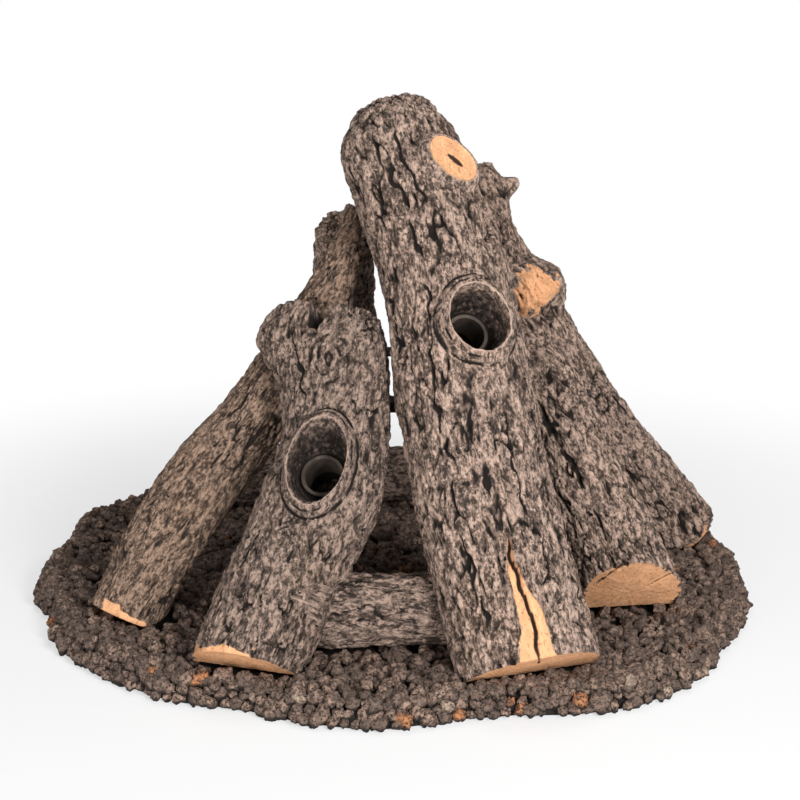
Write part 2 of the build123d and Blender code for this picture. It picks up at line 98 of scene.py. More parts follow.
def smooth(t):
    """Soft step from 0 to 1."""
    t = np.clip(t, 0.0, 1.0)
    return t * t * (3 - 2 * t)


def wrapped(angle):
    """Degrees brought to -180 to 180."""
    return (angle + 180) % 360 - 180


def noise(p, seed=0):
    """Gradient noise, about -0.7 to 0.7."""
    cell = np.floor(p)
    f = p - cell
    u = f * f * f * (f * (f * 6 - 15) + 10)
    total = np.zeros(len(p))
    for corner in CORNERS:
        g = GRADIENTS[scramble(cell + corner, seed) & np.uint32(255)]
        weight = np.prod(np.where(corner > 0, u, 1 - u), axis=1)
        total += (g * (f - corner)).sum(1) * weight
    return total * 1.4


def layered(p, octaves, seed=0):
    """Sum of noise at halving scales."""
    total = np.zeros(len(p))
    for k in range(octaves):
        total += 0.5**k * noise(p * 2.03**k + 17.3 * k, seed + k)
    return total


def cells(p, seed=0):
    """Distances to the nearest and second nearest of scattered points, and the nearest one's number."""
    base = np.floor(p)
    near = np.full(len(p), 9.0)
    second = np.full(len(p), 9.0)
    tone = np.zeros(len(p))
    for corner in NEIGHBOURS:
        c = base + corner
        h = scramble(c, seed)
        jitter = np.stack([(h >> np.uint32(k)) & np.uint32(1023) for k in (0, 10, 20)], 1) / 1023.0
        d = np.sqrt(((c + jitter - p) ** 2).sum(1))
        closer = d < near
        second = np.where(closer, near, np.minimum(second, d))
        near = np.where(closer, d, near)
        tone = np.where(closer, (h >> np.uint32(7)) % 997 / 996.0, tone)
    return near, second, tone


def bark(p, seed, cross=13.0, along=40.0, depth=4.2, furrows=0.9, rough=1.0):
    """Height of the bark in mm, painted shade that grows with how deep in a groove or furrow each point lies,
    and the tone of its plate.
    """
    q = p / np.array([cross, cross, along])
    bend = np.stack([layered(q * 0.5, 3, seed + 1), layered(q * 0.5 + 31.7, 3, seed + 2),
                     noise(q * 0.6 + 9.1, seed + 3)], 1)
    near, second, tone = cells(q + PLATE_BEND * bend, seed + 4)
    edge = second - near
    gate = smooth(0.55 + 1.5 * noise(p / 24.0, seed + 7))
    groove = (1 - smooth(edge / GROOVE_WIDTH)) * gate
    wave = np.abs(noise(p / np.array([1.15 * cross, 1.15 * cross, 2.3 * along]) + 0.6 * bend, seed + 5))
    furrow = (1 - smooth(wave / FURROW_WIDTH)) * smooth(0.7 + 1.5 * noise(p / 45.0, seed + 6))
    lumps = layered(p / LUMP_SIZE, 3, seed + 8)
    plates = -0.5 + 1.3 * smooth(edge / 0.5) + 1.0 * (tone - 0.5)
    height = plates - depth * (0.55 * groove + furrows * furrow) + rough * 1.5 * lumps
    # Painted shade: dark deep in grooves and furrows, lighter on lumps.
    cavity = np.clip(0.6 * groove + 0.85 * furrow - 0.34 * lumps - 0.06, 0, 1)
    return height, cavity, tone


# ---- logs
class Log:
    """A bent, tapering log in its own frame: X outward, Y right, Z along, in mm."""

    def __init__(self, origin, x_axis, z_axis, length, width, shares, seed, saw=(0.0, 0.0, 0.0), **style):
        self.origin, self.x_axis, self.z_axis = np.array([origin, x_axis, z_axis], float)
        self.y_axis = np.cross(self.z_axis, self.x_axis)
        self.table = np.array(shares, float)
        self.length, self.width, self.seed, self.style, self.features = length, width, seed, style, []
        start, tilt, turn = saw[0], math.radians(saw[1]), math.radians(saw[2])
        self.saw = (start * length, math.tan(tilt) / math.cos(turn), math.tan(turn))

    def section(self, s):
        """Half width, half thickness, right and outward shift at places along the log."""
        t = self.table
        x = np.clip(s / self.length, t[0, 0], t[-1, 0])
        k = np.clip(np.searchsorted(t[:, 0], x, side="right") - 1, 0, len(t) - 2)
        step = np.diff(t[:, 0])
        slope = np.diff(t[:, 1:], axis=0) / step[:, None]
        tangent = np.zeros_like(t[:, 1:])
        tangent[0], tangent[-1] = slope[0], slope[-1]
        weighted = slope[:-1] * step[1:, None] + slope[1:] * step[:-1, None]
        tangent[1:-1] = weighted / (step[:-1] + step[1:])[:, None]
        h = step[k][:, None]
        f = ((x - t[k, 0]) / step[k])[:, None]
        v = (2 * f**3 - 3 * f**2 + 1) * t[k, 1:] + (f**3 - 2 * f**2 + f) * tangent[k] * h
        v += (3 * f**2 - 2 * f**3) * t[k + 1, 1:] + (f**3 - f**2) * tangent[k + 1] * h
        wide, thick, right, outward = (v * self.width).T
        return wide / 2, thick / 2, right, outward

    def foot(self, p):
        """Height of the sawn foot's plane at points."""
        return self.saw[0] + self.saw[1] * p[:, 0] + self.saw[2] * p[:, 1]

    def plain(self, s, turn):
        """Points on the bark before its relief."""
        wide, thick, right, outward = self.section(s)
        return np.stack([outward + thick * np.cos(turn), right + wide * np.sin(turn), s], 1)

    def surface(self, s, turn):
        """Points on the bark, with the shade painted in their furrows, how tan they are and their plate's tone.
        """
        p = self.plain(s, turn)
        height, cavity, shade = bark(p, self.seed, **self.style)
        state = SimpleNamespace(log=self, p=p, share=p[:, 2] / self.length, turn=turn, height=height,
                                cavity=cavity, tan=np.zeros(len(p)), push=np.zeros_like(p))
        for relief, *settings in self.features:
            relief(state, *settings)
        out = np.stack([np.cos(turn), np.sin(turn), np.zeros_like(turn)], 1)
        return p + state.height[:, None] * out + state.push, state.cavity, state.tan, shade

    def spot(self, share, turn):
        """Place on the log: middle-line point, sideways and outward directions, and the log's radius."""
        s = share * self.length
        wide, thick, right, outward = self.section(np.array([s]))
        a = math.radians(turn)
        side = np.array([-math.sin(a), math.cos(a), 0.0])
        out = np.array([math.cos(a), math.sin(a), 0.0])
        return Spot(np.array([outward[0], right[0], s]), side, out, thick[0])

    def find(self, spot, u, v):
        """Place along and turn of the bark at distances along and sideways from a spot."""
        s = spot.place[2] + u
        wide, thick, right, outward = self.section(s)
        shift = (np.stack([outward, right, s], 1) - spot.place) @ spot.side
        lean = np.clip((v - shift) / ((wide + thick) / 2), -0.98, 0.98)
        turn = math.atan2(spot.out[1], spot.out[0]) + np.arcsin(lean)
        for _ in range(6):
            side = shift + thick * np.cos(turn) * spot.side[0] + wide * np.sin(turn) * spot.side[1]
            rate = -thick * np.sin(turn) * spot.side[0] + wide * np.cos(turn) * spot.side[1]
            rate = np.where(np.abs(rate) < 5, 5 * np.sign(rate + 1e-9), rate)
            turn = turn - np.clip((side - v) / rate, -0.3, 0.3)
        return s, turn

    def world(self, p):
        return self.origin + p[:, :1] * self.x_axis + p[:, 1:2] * self.y_axis + p[:, 2:] * self.z_axis

    def local(self, w):
        q = w - self.origin
        return np.stack([q @ self.x_axis, q @ self.y_axis, q @ self.z_axis], 1)


def apart(spot, p):
    """Distances of points from a spot: along, sideways and outward."""
    q = p - spot.place
    return q[:, 2], q @ spot.side, q @ spot.out


def oval(u, v, half):
    """Distance from the middle of an oval, 1 at its edge."""
    return np.sqrt((u / half[0]) ** 2 + (v / half[1]) ** 2)


def seat(w):
    """Keep points above the bed and off the stand's ring."""
    w[:, 2] = np.maximum(w[:, 2], BED_TOP + REST)
    r = np.hypot(w[:, 0], w[:, 1])
    inside = (r < RING_RADIUS + REST) & (w[:, 2] < RING_TOP + REST)
    up = RING_TOP + REST - w[:, 2]
    out = RING_RADIUS + REST - r
    lift = inside & (up <= out)
    push = inside & ~lift
    w[lift, 2] = RING_TOP + REST
    w[push, :2] *= ((RING_RADIUS + REST) / np.maximum(r[push], 1e-6))[:, None]
    return w


def keep_off(w, log, gap=0.6):
    """Push points out of another log."""
    p = log.local(w)
    wide, thick, right, outward = log.section(p[:, 2])
    dx, dy = p[:, 0] - outward, p[:, 1] - right
    k = np.sqrt((dx / (thick + gap)) ** 2 + (dy / (wide + gap)) ** 2)
    inside = (k < 1) & (p[:, 2] > 0) & (p[:, 2] < log.length)
    k = np.maximum(k, 0.2)
    p[inside, 0] = outward[inside] + dx[inside] / k[inside]
    p[inside, 1] = right[inside] + dy[inside] / k[inside]
    return log.world(p)


# ---- relief on the logs: each function changes the state of points on the bark
def calm(state, spot, half, reach, rings=0.7):
    """Smoother bark in rings round a knot, with painted shade in the rings' troughs."""
    u, v, w = apart(spot, state.p)
    rho = oval(u, v, half)
    near = (1 - smooth((rho - 1.15) / (reach - 1.15))) * (w > 0)
    warp = 0.34 * noise(state.p / 11.0, 71)
    wave = np.cos((rho + warp) * (half[0] + half[1]) * math.pi / KNOT_PITCH)
    wave = wave * smooth(0.5 + 1.6 * noise(state.p / 13.0, 73))
    state.height = state.height * (1 - 0.6 * near) + near * rings * wave
    state.cavity = state.cavity * (1 - 0.75 * near) + 0.3 * near * smooth(-wave)


def bump(state, spot, half, rise, edge, top, rough, tan=0.0, shift=(0.0, 0.0)):
    """A swelling whose top stands a rise above the log's radius, with a broken tan face beside its middle. Less
    painted shade lies on the swelling, and painted shade lies between the crumbs of the tan face.
    """
    u, v, w = apart(spot, state.p)
    profile = (1 - smooth((oval(u, v, half) - top) / edge)) * (w > 0)
    target = spot.radius + rise + rough * 1.6 * layered(state.p / 5.0, 3, 83)
    state.push += (np.maximum(target - w, 0) * profile)[:, None] * spot.out
    away = oval(u - shift[0], v - shift[1], half) + 0.34 * layered(state.p / 8.0, 2, 85)
    broken = tan * smooth((0.8 - away) / 0.07) * (w > 0)
    crumbs = layered((state.p + state.push) / 4.2, 3, 87)
    state.height += broken * (1.6 * crumbs - 1.0)
    state.tan = np.maximum(state.tan, broken)
    # Painted shade between the crumbs, where they sink.
    crumb_shade = 0.5 * broken * smooth(-crumbs * 1.3)
    state.cavity = state.cavity * (1 - 0.5 * profile) * (1 - broken) + crumb_shade


def split(state, turn, tip, width, floor):
    """Stripped wedge at the foot of a log, with a crack down its middle that is painted dark as shade."""
    u, v, w = apart(state.log.spot(0.0, turn), state.p)
    shift = 3.0 * np.sin(u / 17.0) * smooth(u / 30.0)
    half = width / 2 * np.clip((tip - u) / (tip + 10), 0, 1) + 0.01
    side = np.abs(v - shift) + 1.6 * noise(state.p / 7.0, 91)
    inside = (1 - smooth((side - half) / 2.4 + 0.5)) * (u < tip) * (w > 0)
    crack = np.abs(v - shift - 3.2 * noise(np.stack([u / 16.0, 0 * u, 0 * u], 1), 92) - 1.0)
    cleft = (1 - smooth(crack / 2.6)) * inside * smooth((u + 12) / 30.0)
    grain = layered(state.p / np.array([2.0, 2.0, 16.0]), 2, 93)
    lip = smooth(1 - np.abs(side - half) / 3.0) * (1 - inside) * (u < tip + 4) * (w > 0)
    state.height = state.height * (1 - inside) + inside * (-floor + 0.8 * grain) - 7.0 * cleft + lip
    state.cavity = state.cavity * (1 - inside) + 0.95 * smooth(cleft * 1.6)
    state.tan = np.maximum(state.tan, inside)


def swirl(state, spot, radius, strength, pitch):
    """Whorl in the bark: rings that wind round a small eye, with painted shade in their troughs."""
    u, v, w = apart(spot, state.p)
    r = oval(u, v, (1.35, 1.0))
    near = (1 - smooth((r - radius * 0.35) / (radius * 0.8))) * (w > 0)
    wave = np.cos((r + 3.4 * noise(state.p / 10.0, 97)) * TAU / pitch)
    wave = wave * smooth(0.55 + 1.5 * noise(state.p / 12.0, 99))
    state.height = state.height * (1 - 0.62 * near) + near * (strength * wave - 0.4)
    state.cavity = state.cavity * (1 - 0.7 * near) + near * 0.62 * smooth(-wave * 1.4)


def trench(state, places, width, depth):
    """One long furrow along given places: (along share, turn), painted dark as shade."""
    shares, turns = np.array(places, float).T
    centre = np.interp(state.share, shares, turns) + 7 * noise(state.p / np.array([11.0, 11.0, 17.0]), 103)
    gap = np.abs(wrapped(np.degrees(state.turn) - centre)) * math.pi / 180 * state.log.width * 0.48
    ends = smooth((state.share - shares[0]) / 0.05) * smooth((shares[-1] - state.share) / 0.05)
    ends *= smooth(0.72 + 1.5 * noise(state.p / np.array([40.0, 40.0, 26.0]), 105))
    deep = (1 - smooth(gap / (width * (0.75 + 0.5 * noise(state.p / 9.0, 104))))) * ends
    state.height = state.height - depth * deep
    state.cavity = np.maximum(state.cavity, smooth(deep * 1.3))


def bulge(state, share, turn, reach, spread, rise):
    """Broad gentle swelling of the log's side."""
    along = (state.share - share) / reach
    round_it = wrapped(np.degrees(state.turn) - turn) / spread
    state.height += rise * np.exp(-(along**2) - round_it**2)


def bare(state, share_low, share_high, turn_low, turn_high):
    """Patch where the bark has come off and tan wood shows."""
    share = state.share + 0.02 * noise(state.p / 9.0, 107)
    turn = wrapped(np.degrees(state.turn)) + 9 * noise(state.p / 8.0, 109)
    near = smooth((share - share_low) / 0.012) * smooth((share_high - share) / 0.012)
    near *= smooth((turn - turn_low) / 6) * smooth((turn_high - turn) / 6)
    state.height = state.height * (1 - near) - 1.4 * near
    state.cavity = state.cavity * (1 - near)
    state.tan = np.maximum(state.tan, near)


# ---- meshes
NO_FACES = np.zeros((0, 3), int)


def make_mesh(name, world, quads, tris, values):
    """Smooth mesh in metres with point values that its material reads."""
    mesh = bpy.data.meshes.new(name)
    mesh.vertices.add(len(world))
    mesh.vertices.foreach_set("co", (world * MM).astype(np.float32).ravel())
    loops = np.concatenate([quads.ravel(), tris.ravel()]).astype(np.int32)
    sizes = np.concatenate([np.full(len(quads), 4), np.full(len(tris), 3)]).astype(np.int32)
    mesh.loops.add(len(loops))
    mesh.loops.foreach_set("vertex_index", loops)
    mesh.polygons.add(len(sizes))
    mesh.polygons.foreach_set("loop_start", np.concatenate([[0], np.cumsum(sizes)[:-1]]).astype(np.int32))
    mesh.polygons.foreach_set("use_smooth", np.ones(len(sizes), bool))
    for key, value in values.items():
        kind, field = ("FLOAT", "value") if value.ndim == 1 else ("FLOAT_VECTOR", "vector")
        mesh.attributes.new(key, kind, "POINT").data.foreach_set(field, value.astype(np.float32).ravel())
    mesh.update(calc_edges=True)
    mesh.validate()
    obj = bpy.data.objects.new(name, mesh)
    scene.collection.objects.link(obj)
    return obj


def tube_faces(rows, columns, start=0):
    """Quads between rows of points round a tube."""
    r = np.arange(rows - 1)[:, None] * columns + start
    c = np.arange(columns)[None, :]
    n = (c + 1) % columns
    return np.stack([r + c, r + n, r + columns + n, r + columns + c], 2).reshape(-1, 4)


def cracked(flat, middle, width, cracks):
    """How deep in a crack points of a sawn foot are; the foot is cut that deep and painted as shade there."""
    deep = np.zeros(len(flat))
    for x0, y0, x1, y1, gape in cracks:
        start, finish = (np.array([x, y]) * width / 2 for x, y in ((x0, y0), (x1, y1)))
        run = finish - start
        across = flat[:, :2] - middle[:2] - start
        part = np.clip(across @ run / (run @ run), 0, 1)
        wander = 2.2 * noise(flat / 9.0 + x0, 5)
        away = np.abs(np.hypot(*(across - part[:, None] * run).T) + wander)
        deep = np.maximum(deep, 1 - smooth(away / (gape * (1 - 0.6 * part))))
    return deep


def log_mesh(name, log, spacing, holes=(), top_tan=0.0, top_rise=3.0, shape=None, off=(), cracks=()):
    """Bark tube with foot and top faces, left open where knots and stubs go."""
    columns = int(TAU * log.width * 0.47 / spacing)
    rows = int(log.length / (1.5 * spacing))
    turn = np.tile(np.arange(columns) * TAU / columns, rows)
    t = np.repeat(np.linspace(0, 1, rows), columns)
    low = log.foot(log.plain(log.foot(log.plain(np.zeros(len(turn)), turn)), turn))
    s = low + (log.length - low) * t
    point, cavity, tan, shade = log.surface(s, turn)
    parts = [(point, log.plain(s, turn), cavity, tan, shade)]
    quads, tris = [tube_faces(rows, columns)], []
    count = len(point)
    ring_next = (np.arange(columns) + 1) % columns
    for end, share, reach in ((0, 1.0, 0.42), (1, top_tan, 0.3)):
        rim = point[-columns:] if end else point[:columns]
        middle = rim.mean(0)
        rings = max(6, int(log.width * reach / (spacing * 1.2)))
        k = np.linspace(1, 0, rings + 1)[1:-1]
        flat = (middle + (rim[None] - middle) * k[:, None, None]).reshape(-1, 3)
        kk = np.repeat(k, columns)
        edge = smooth((1 - kk) / 0.12)
        if end:
            height, top_furrow_shade, _ = bark(flat, log.seed + 60, cross=9.0, along=9.0, depth=3.0)
            pitted = share * 0.8 * layered(flat / 4.0, 3, log.seed + 40)
            flat[:, 2] += top_rise * (1 - kk**2) + edge * (height * (1 - share) + pitted)
            # Painted shade in the top face's bark furrows, none where the end is tan.
            deep = top_furrow_shade * (1 - share)
        else:
            # Cracks in the sawn foot, cut in and painted dark as shade.
            deep = cracked(flat, middle, log.width, cracks)
            flat[:, 2] = log.foot(flat)
            flat[:, 2] += edge * (0.5 * layered(flat / 4.0, 3, log.seed + 41) + 0.6) + 2.5 * deep
        link = np.arange(columns) + ((rows - 1) * columns if end else 0)
        first = count + np.arange(columns)
        last = first + (len(k) - 1) * columns
        cap = np.concatenate([np.stack([link, link[ring_next], first[ring_next], first], 1),
                              tube_faces(len(k), columns, count)])
        fan = np.stack([last, last[ring_next], np.full(columns, count + len(flat))], 1)
        quads.append(cap if end else cap[:, ::-1])
        tris.append(fan if end else fan[:, ::-1])
        flat = np.concatenate([flat, flat[-columns:].mean(0)[None]])
        parts.append((flat, flat, np.append(deep, 0.0), np.full(len(flat), share), np.full(len(flat), 0.5)))
        count += len(flat)
    point, base, cavity, tan, shade = (np.concatenate(values) for values in zip(*parts))
    if shape is not None:
        point, cavity = shape(point, cavity)
    keep = np.ones(len(point), bool)
    for spot, half, reach in holes:
        u, v, w = apart(spot, base)
        keep &= ~((oval(u, v, half) < reach) & (w > 0))
    world = seat(log.world(point))
    for other in off:
        world = keep_off(world, other)
    quads, tris = np.concatenate(quads), np.concatenate(tris)
    quads, tris = quads[keep[quads].all(1)], tris[keep[tris].all(1)]
    used = np.zeros(len(point), bool)
    used[quads.ravel()] = True
    used[tris.ravel()] = True
    index = np.cumsum(used) - 1
    values = {"cavity": cavity, "tan": tan, "shade": shade, "grain": point * GRAIN_STRETCH}
    values = {key: value[used] for key, value in values.items()}
    return make_mesh(name, world[used], index[quads], index[tris], values)


def patch_mesh(name, log, spot, half, rise, seed, inner, setting, outer=1.45, ovalness=0.0, grooved=1.0):
    """Bark that rises to a rim round a knot or stub, then the rows that inner gives for its setting. Painted
    shade lies in low ripples and in the ditch and fold round the rim, and a painted highlight on its lip.
    """
    rim = spot.radius + rise
    a = np.arange(PATCH_COLUMNS) * TAU / PATCH_COLUMNS
    circle = np.stack([np.cos(a) * 1.6, np.sin(a) * 1.6, 0 * a + seed], 1)
    wobble = 1 + ovalness * np.cos(2 * (a - math.radians(STUB_TURN))) + 0.035 * layered(circle, 3, seed)
    cu, cv = np.cos(a) * wobble, np.sin(a) * wobble
    waver = layered(np.stack([cu * 2.6, cv * 2.6, 0 * a + 0.4 * seed], 1), 2, seed + 5)
    rows = []
    for k in np.linspace(outer, 1.0, PATCH_RINGS):
        s, turn = log.find(spot, cu * half[0] * k, cv * half[1] * k)
        point, cavity, tan, shade = log.surface(s, turn)
        u, v, w = apart(spot, point)
        part = (outer - k) / (outer - 1.0)
        blend = smooth(part * 1.1)
        ripple = layered(np.stack([u, v, w], 1) / 4.2, 3, seed + 3)
        w = w * (1 - blend) + blend * (rim + 1.2 * ripple)
        w = w + 0.35 * math.sin(math.pi * min(1.0, part * 4)) - 0.5 * (part < 1e-6)
        ditch = np.exp(-((part - 0.26 - 0.06 * waver) / 0.095) ** 2) * smooth(0.85 + waver)
        fold = np.exp(-((part - 0.62 - 0.06 * waver) / 0.075) ** 2) * smooth(0.5 + 1.4 * waver)
        w = w - grooved * (3.2 * ditch + 1.8 * fold)
        # Painted shade in low ripples, the ditch and the fold, none on the lip.
        cavity = cavity * (1 - 0.75 * blend) + 0.22 * blend * smooth(0.2 - ripple)
        cavity = np.maximum(cavity * (1 - smooth((part - 0.85) / 0.15)), grooved * (0.85 * ditch + 0.72 * fold))
        u = u * (1 - blend) + cu * half[0] * k * blend
        v = v * (1 - blend) + cv * half[1] * k * blend
        # Painted highlight on the lip: the plate-tone value is pushed above 1 there.
        lip = 0.5 + 0.9 * float(smooth((part - 0.8) / 0.2))
        rows.append((u, v, w, cavity, tan * (1 - blend), shade * (1 - blend) + blend * lip))
    rows += inner(cu, cv, a, rim, half, seed, setting)
    flat = np.concatenate([np.stack([np.broadcast_to(x, a.shape) for x in row], 1) for row in rows])
    p = spot.place + flat[:, :1] * np.array([0, 0, 1.0]) + flat[:, 1:2] * spot.side + flat[:, 2:3] * spot.out
    quads = tube_faces(len(rows), PATCH_COLUMNS)[:, ::-1]
    values = {"cavity": flat[:, 3], "tan": flat[:, 4], "shade": flat[:, 5], "grain": p * GRAIN_STRETCH}
    return make_mesh(name, log.world(p), quads, NO_FACES, values)


def cup(cu, cv, a, rim, half, seed, bottom):
    """Rows of a knot's cup: tapering wall, floor, and the bore below it. Painted shade darkens the wall further
    down, and the floor ring and bore are painted near black as shade.
    """
    out = []
    ring_u, ring_v = np.cos(a), np.sin(a)
    for t in np.linspace(0, 1, 28)[1:]:
        ru, rv = (size * (1 - t) + CUP_FLOOR * t for size in half)
        p = np.stack([cu * ru, cv * rv, np.full_like(a, -t * CUP_DEPTH)], 1)
        dent = layered(p / np.array([4.5, 4.5, 6.5]), 3, seed)
        k = 1 + 0.09 * dent * math.sin(math.pi * (0.12 + 0.8 * t)) - 0.015
        # Painted shade: darker and lower in tone further down the wall.
        cavity = np.clip(0.16 + 0.34 * float(smooth(t * 2.2)) - 0.25 * dent, 0, 1)
        round_u, round_v = cu * (1 - t) + ring_u * t, cv * (1 - t) + ring_v * t
        out.append((ru * k * round_u, rv * k * round_v, rim - t * CUP_DEPTH, cavity, 0.0, 0.3 * (1 - t)))
    # Painted shade: floor ring and bore near black.
    for k in (0.75, 0.5, 0.25, 0.0):
        r = BORE + (CUP_FLOOR - BORE) * k
        out.append((ring_u * r, ring_v * r, rim - CUP_DEPTH, 0.8, 0.0, 0.0))
    for w in np.linspace(rim - CUP_DEPTH - 1.0, bottom, 10):
        r = BORE if w > rim - CUP_DEPTH - BORE_DEPTH else VENT
        out.append((ring_u * r, ring_v * r, w, 1.0, 0.0, 0.0))
    return out


def sawn(cu, cv, a, rim, half, seed, hollow):
    """Rows of a flat sawn face, with small pits and a check, both painted dark as shade."""
    out = []
    for k in np.linspace(1, 0.02, 30):
        u, v = cu * half[0] * k, cv * half[1] * k
        p = np.stack([u, v, 0 * u], 1)
        near = cells(p / 5.0, seed + 4)[0]
        pit = (1 - smooth(near / 0.22)) * smooth((0.95 - k) / 0.1)
        deep = hollow(u, v)
        w = rim - 0.9 * smooth((1 - k) / 0.08) + 0.35 * layered(p / 2.6, 3, seed) - 1.1 * pit - 2.6 * deep
        tone = smooth((0.985 - k) / 0.03) * (0.9 + 0.1 * pit)
        out.append((u, v, w, np.maximum(0.6 * pit, deep), tone, 0.5))
    return out


# ---- materials
class Nodes:
    """Small helper that adds and joins shader nodes."""

    def __init__(self, name, grain=False, home=bpy.data.materials):
        self.owner = home.new(name)
        self.owner.use_nodes = True
        self.tree = self.owner.node_tree
        if grain:
            self.where = self.add("ShaderNodeAttribute", attribute_name="grain").outputs["Vector"]
        else:
            self.where = self.add("ShaderNodeTexCoord").outputs["Object"]

    def add(self, kind, inputs=(), **settings):
        """New node with its inputs fed and its settings made."""
        node = self.tree.nodes.new(kind)
        for key, value in settings.items():
            setattr(node, key, value)
        self.feed(node, dict(inputs))
        return node

    def feed(self, node, inputs):
        """Join or set inputs of a node: another node's output, a colour or a number."""
        for key, value in inputs.items():
            if isinstance(value, bpy.types.NodeSocket):
                self.tree.links.new(value, node.inputs[key])
            else:
                node.inputs[key].default_value = (*value, 1.0) if isinstance(value, tuple) else value

    def noise(self, scale, detail=4.0, rough=0.55, distortion=0.0):
        inputs = {"Vector": self.where, "Scale": scale, "Detail": detail, "Roughness": rough,
                  "Distortion": distortion}
        return self.add("ShaderNodeTexNoise", inputs).outputs["Fac"]

    def voronoi(self, scale):
        return self.add("ShaderNodeTexVoronoi", {"Vector": self.where, "Scale": scale}).outputs["Distance"]

    def value(self, name):
        return self.add("ShaderNodeAttribute", attribute_name=name).outputs["Fac"]

    def fit(self, value, low, high, to_low=0.0, to_high=1.0):
        inputs = {"Value": value, "From Min": low, "From Max": high, "To Min": to_low, "To Max": to_high}
        return self.add("ShaderNodeMapRange", inputs, interpolation_type="SMOOTHSTEP").outputs["Result"]

    def speckle(self, scale, detail, rough, low, high, most=1.0):
        """Noise brought to amounts from 0 to most."""
        return self.fit(self.noise(scale, detail, rough), low, high, 0.0, most)

    def math(self, kind, a, b):
        return self.add("ShaderNodeMath", {0: a, 1: b}, operation=kind).outputs[0]

    def mix(self, amount, a, b):
        return self.add("ShaderNodeMix", {0: amount, 6: a, 7: b}, data_type="RGBA").outputs[2]

    def over(self, colour, *layers):
        """Colours laid over one another, each by its own amount."""
        for amount, other in layers:
            colour = self.mix(amount, colour, other)
        return colour

    def bump(self, height, strength, distance, below=None):
        inputs = {"Height": height, "Strength": strength, "Distance": distance}
        if below is not None:
            inputs["Normal"] = below
        return self.add("ShaderNodeBump", inputs).outputs["Normal"]

    def finish(self, colour, roughness, normal, **others):
        inputs = {"Base Color": colour, "Roughness": roughness, "Normal": normal}
        inputs.update({key.replace("_", " "): value for key, value in others.items()})
        self.feed(self.tree.nodes["Principled BSDF"], inputs)
        return self.owner


def times(k, colour):
    """Colour made k times as bright."""
    return tuple(k * c for c in colour)


# light, dark and warm are the bark's own tones; light made brighter is also the painted highlight, and furrow is
# the colour of the painted shade.
def bark_material(name, light, dark, warm, furrow):
    """Cast bark: greyish-brown grainy plates, painted highlights on raised grain, painted shade on low grain, in
    furrows and in cracks of the tan wood, and a painted highlight on knot lips.
    """
    n = Nodes(name, True)
    shade, cavity, tan = n.value("shade"), n.value("cavity"), n.fit(n.value("tan"), 0.35, 0.65)
    fine = n.noise(430, 4, 0.68, 0.35)
    middle = n.noise(170, 3, 0.6, 0.38)
    relief = n.math("ADD", n.math("MULTIPLY", fine, 0.54), n.math("MULTIPLY", middle, 0.46))
    tone = n.math("ADD", n.math("MULTIPLY", n.noise(36, 4, 0.6), 0.6), n.math("MULTIPLY", shade, 0.4))
    plates = n.over(
        n.mix(n.fit(tone, 0.3, 0.7), dark, light),
        (n.speckle(14, 3, 0.5, 0.46, 0.68, 0.5), warm),
        # Painted highlight where the bump's grain rises and painted shade where it sinks.
        (n.fit(relief, 0.51, 0.56, 0.0, 0.72), times(1.95, light)),
        (n.fit(relief, 0.485, 0.44, 0.0, 0.86), times(2.2, furrow)),
        # Painted highlight on the lips of knots.
        (n.fit(shade, 1.0, 1.35, 0.0, 0.75), times(1.9, light)),
        # Painted shade in furrows, grooves and cracks.
        (n.fit(cavity, 0.12, 0.64), furrow))
    wood = n.over(
        n.mix(n.speckle(70, 4, 0.6, 0.35, 0.65), (0.7, 0.365, 0.19), (0.57, 0.29, 0.145)),
        (n.speckle(420, 2, 0.5, 0.55, 0.68, 0.6), (0.26, 0.125, 0.055)),
        (n.speckle(260, 3, 0.6, 0.56, 0.7, 0.5), (0.8, 0.52, 0.29)),
        # Painted shade in the wood's cracks.
        (n.fit(cavity, 0.12, 0.62), (0.035, 0.017, 0.01)))
    bark_normal = n.bump(n.noise(820, 3, 0.6), 0.6, 0.0008, n.bump(relief, 1.0, 0.0105))
    wood_normal = n.bump(n.noise(300, 4, 0.6), 0.5, 0.0012)
    rough = n.fit(n.noise(90, 3, 0.5), 0.3, 0.7, 0.8, 0.95)
    normal = n.mix(tan, bark_normal, wood_normal)
    return n.finish(n.mix(tan, plates, wood), rough, normal, Specular_IOR_Level=0.3)


def metal_material(name, bright, dull, stain, low, high, metallic, rust):
    """Worn, heat-stained metal with fine scratches and scale."""
    n = Nodes(name)
    colour = n.over(
        n.mix(n.speckle(60, 5, 0.6, 0.35, 0.65), dull, bright),
        (n.fit(n.noise(24, 4, 0.6, 0.4), 0.46, 0.62, 0.0, rust), stain),
        (n.speckle(700, 2, 0.5, 0.55, 0.7, 0.25), stain))
    normal = n.bump(n.noise(180, 5, 0.6), 0.35, 0.0006)
    normal = n.bump(n.noise(1400, 2, 0.6), 0.25, 0.0002, normal)
    rough = n.fit(n.noise(120, 4, 0.6), 0.3, 0.7, low, high)
    return n.finish(colour, rough, normal, Metallic=metallic)


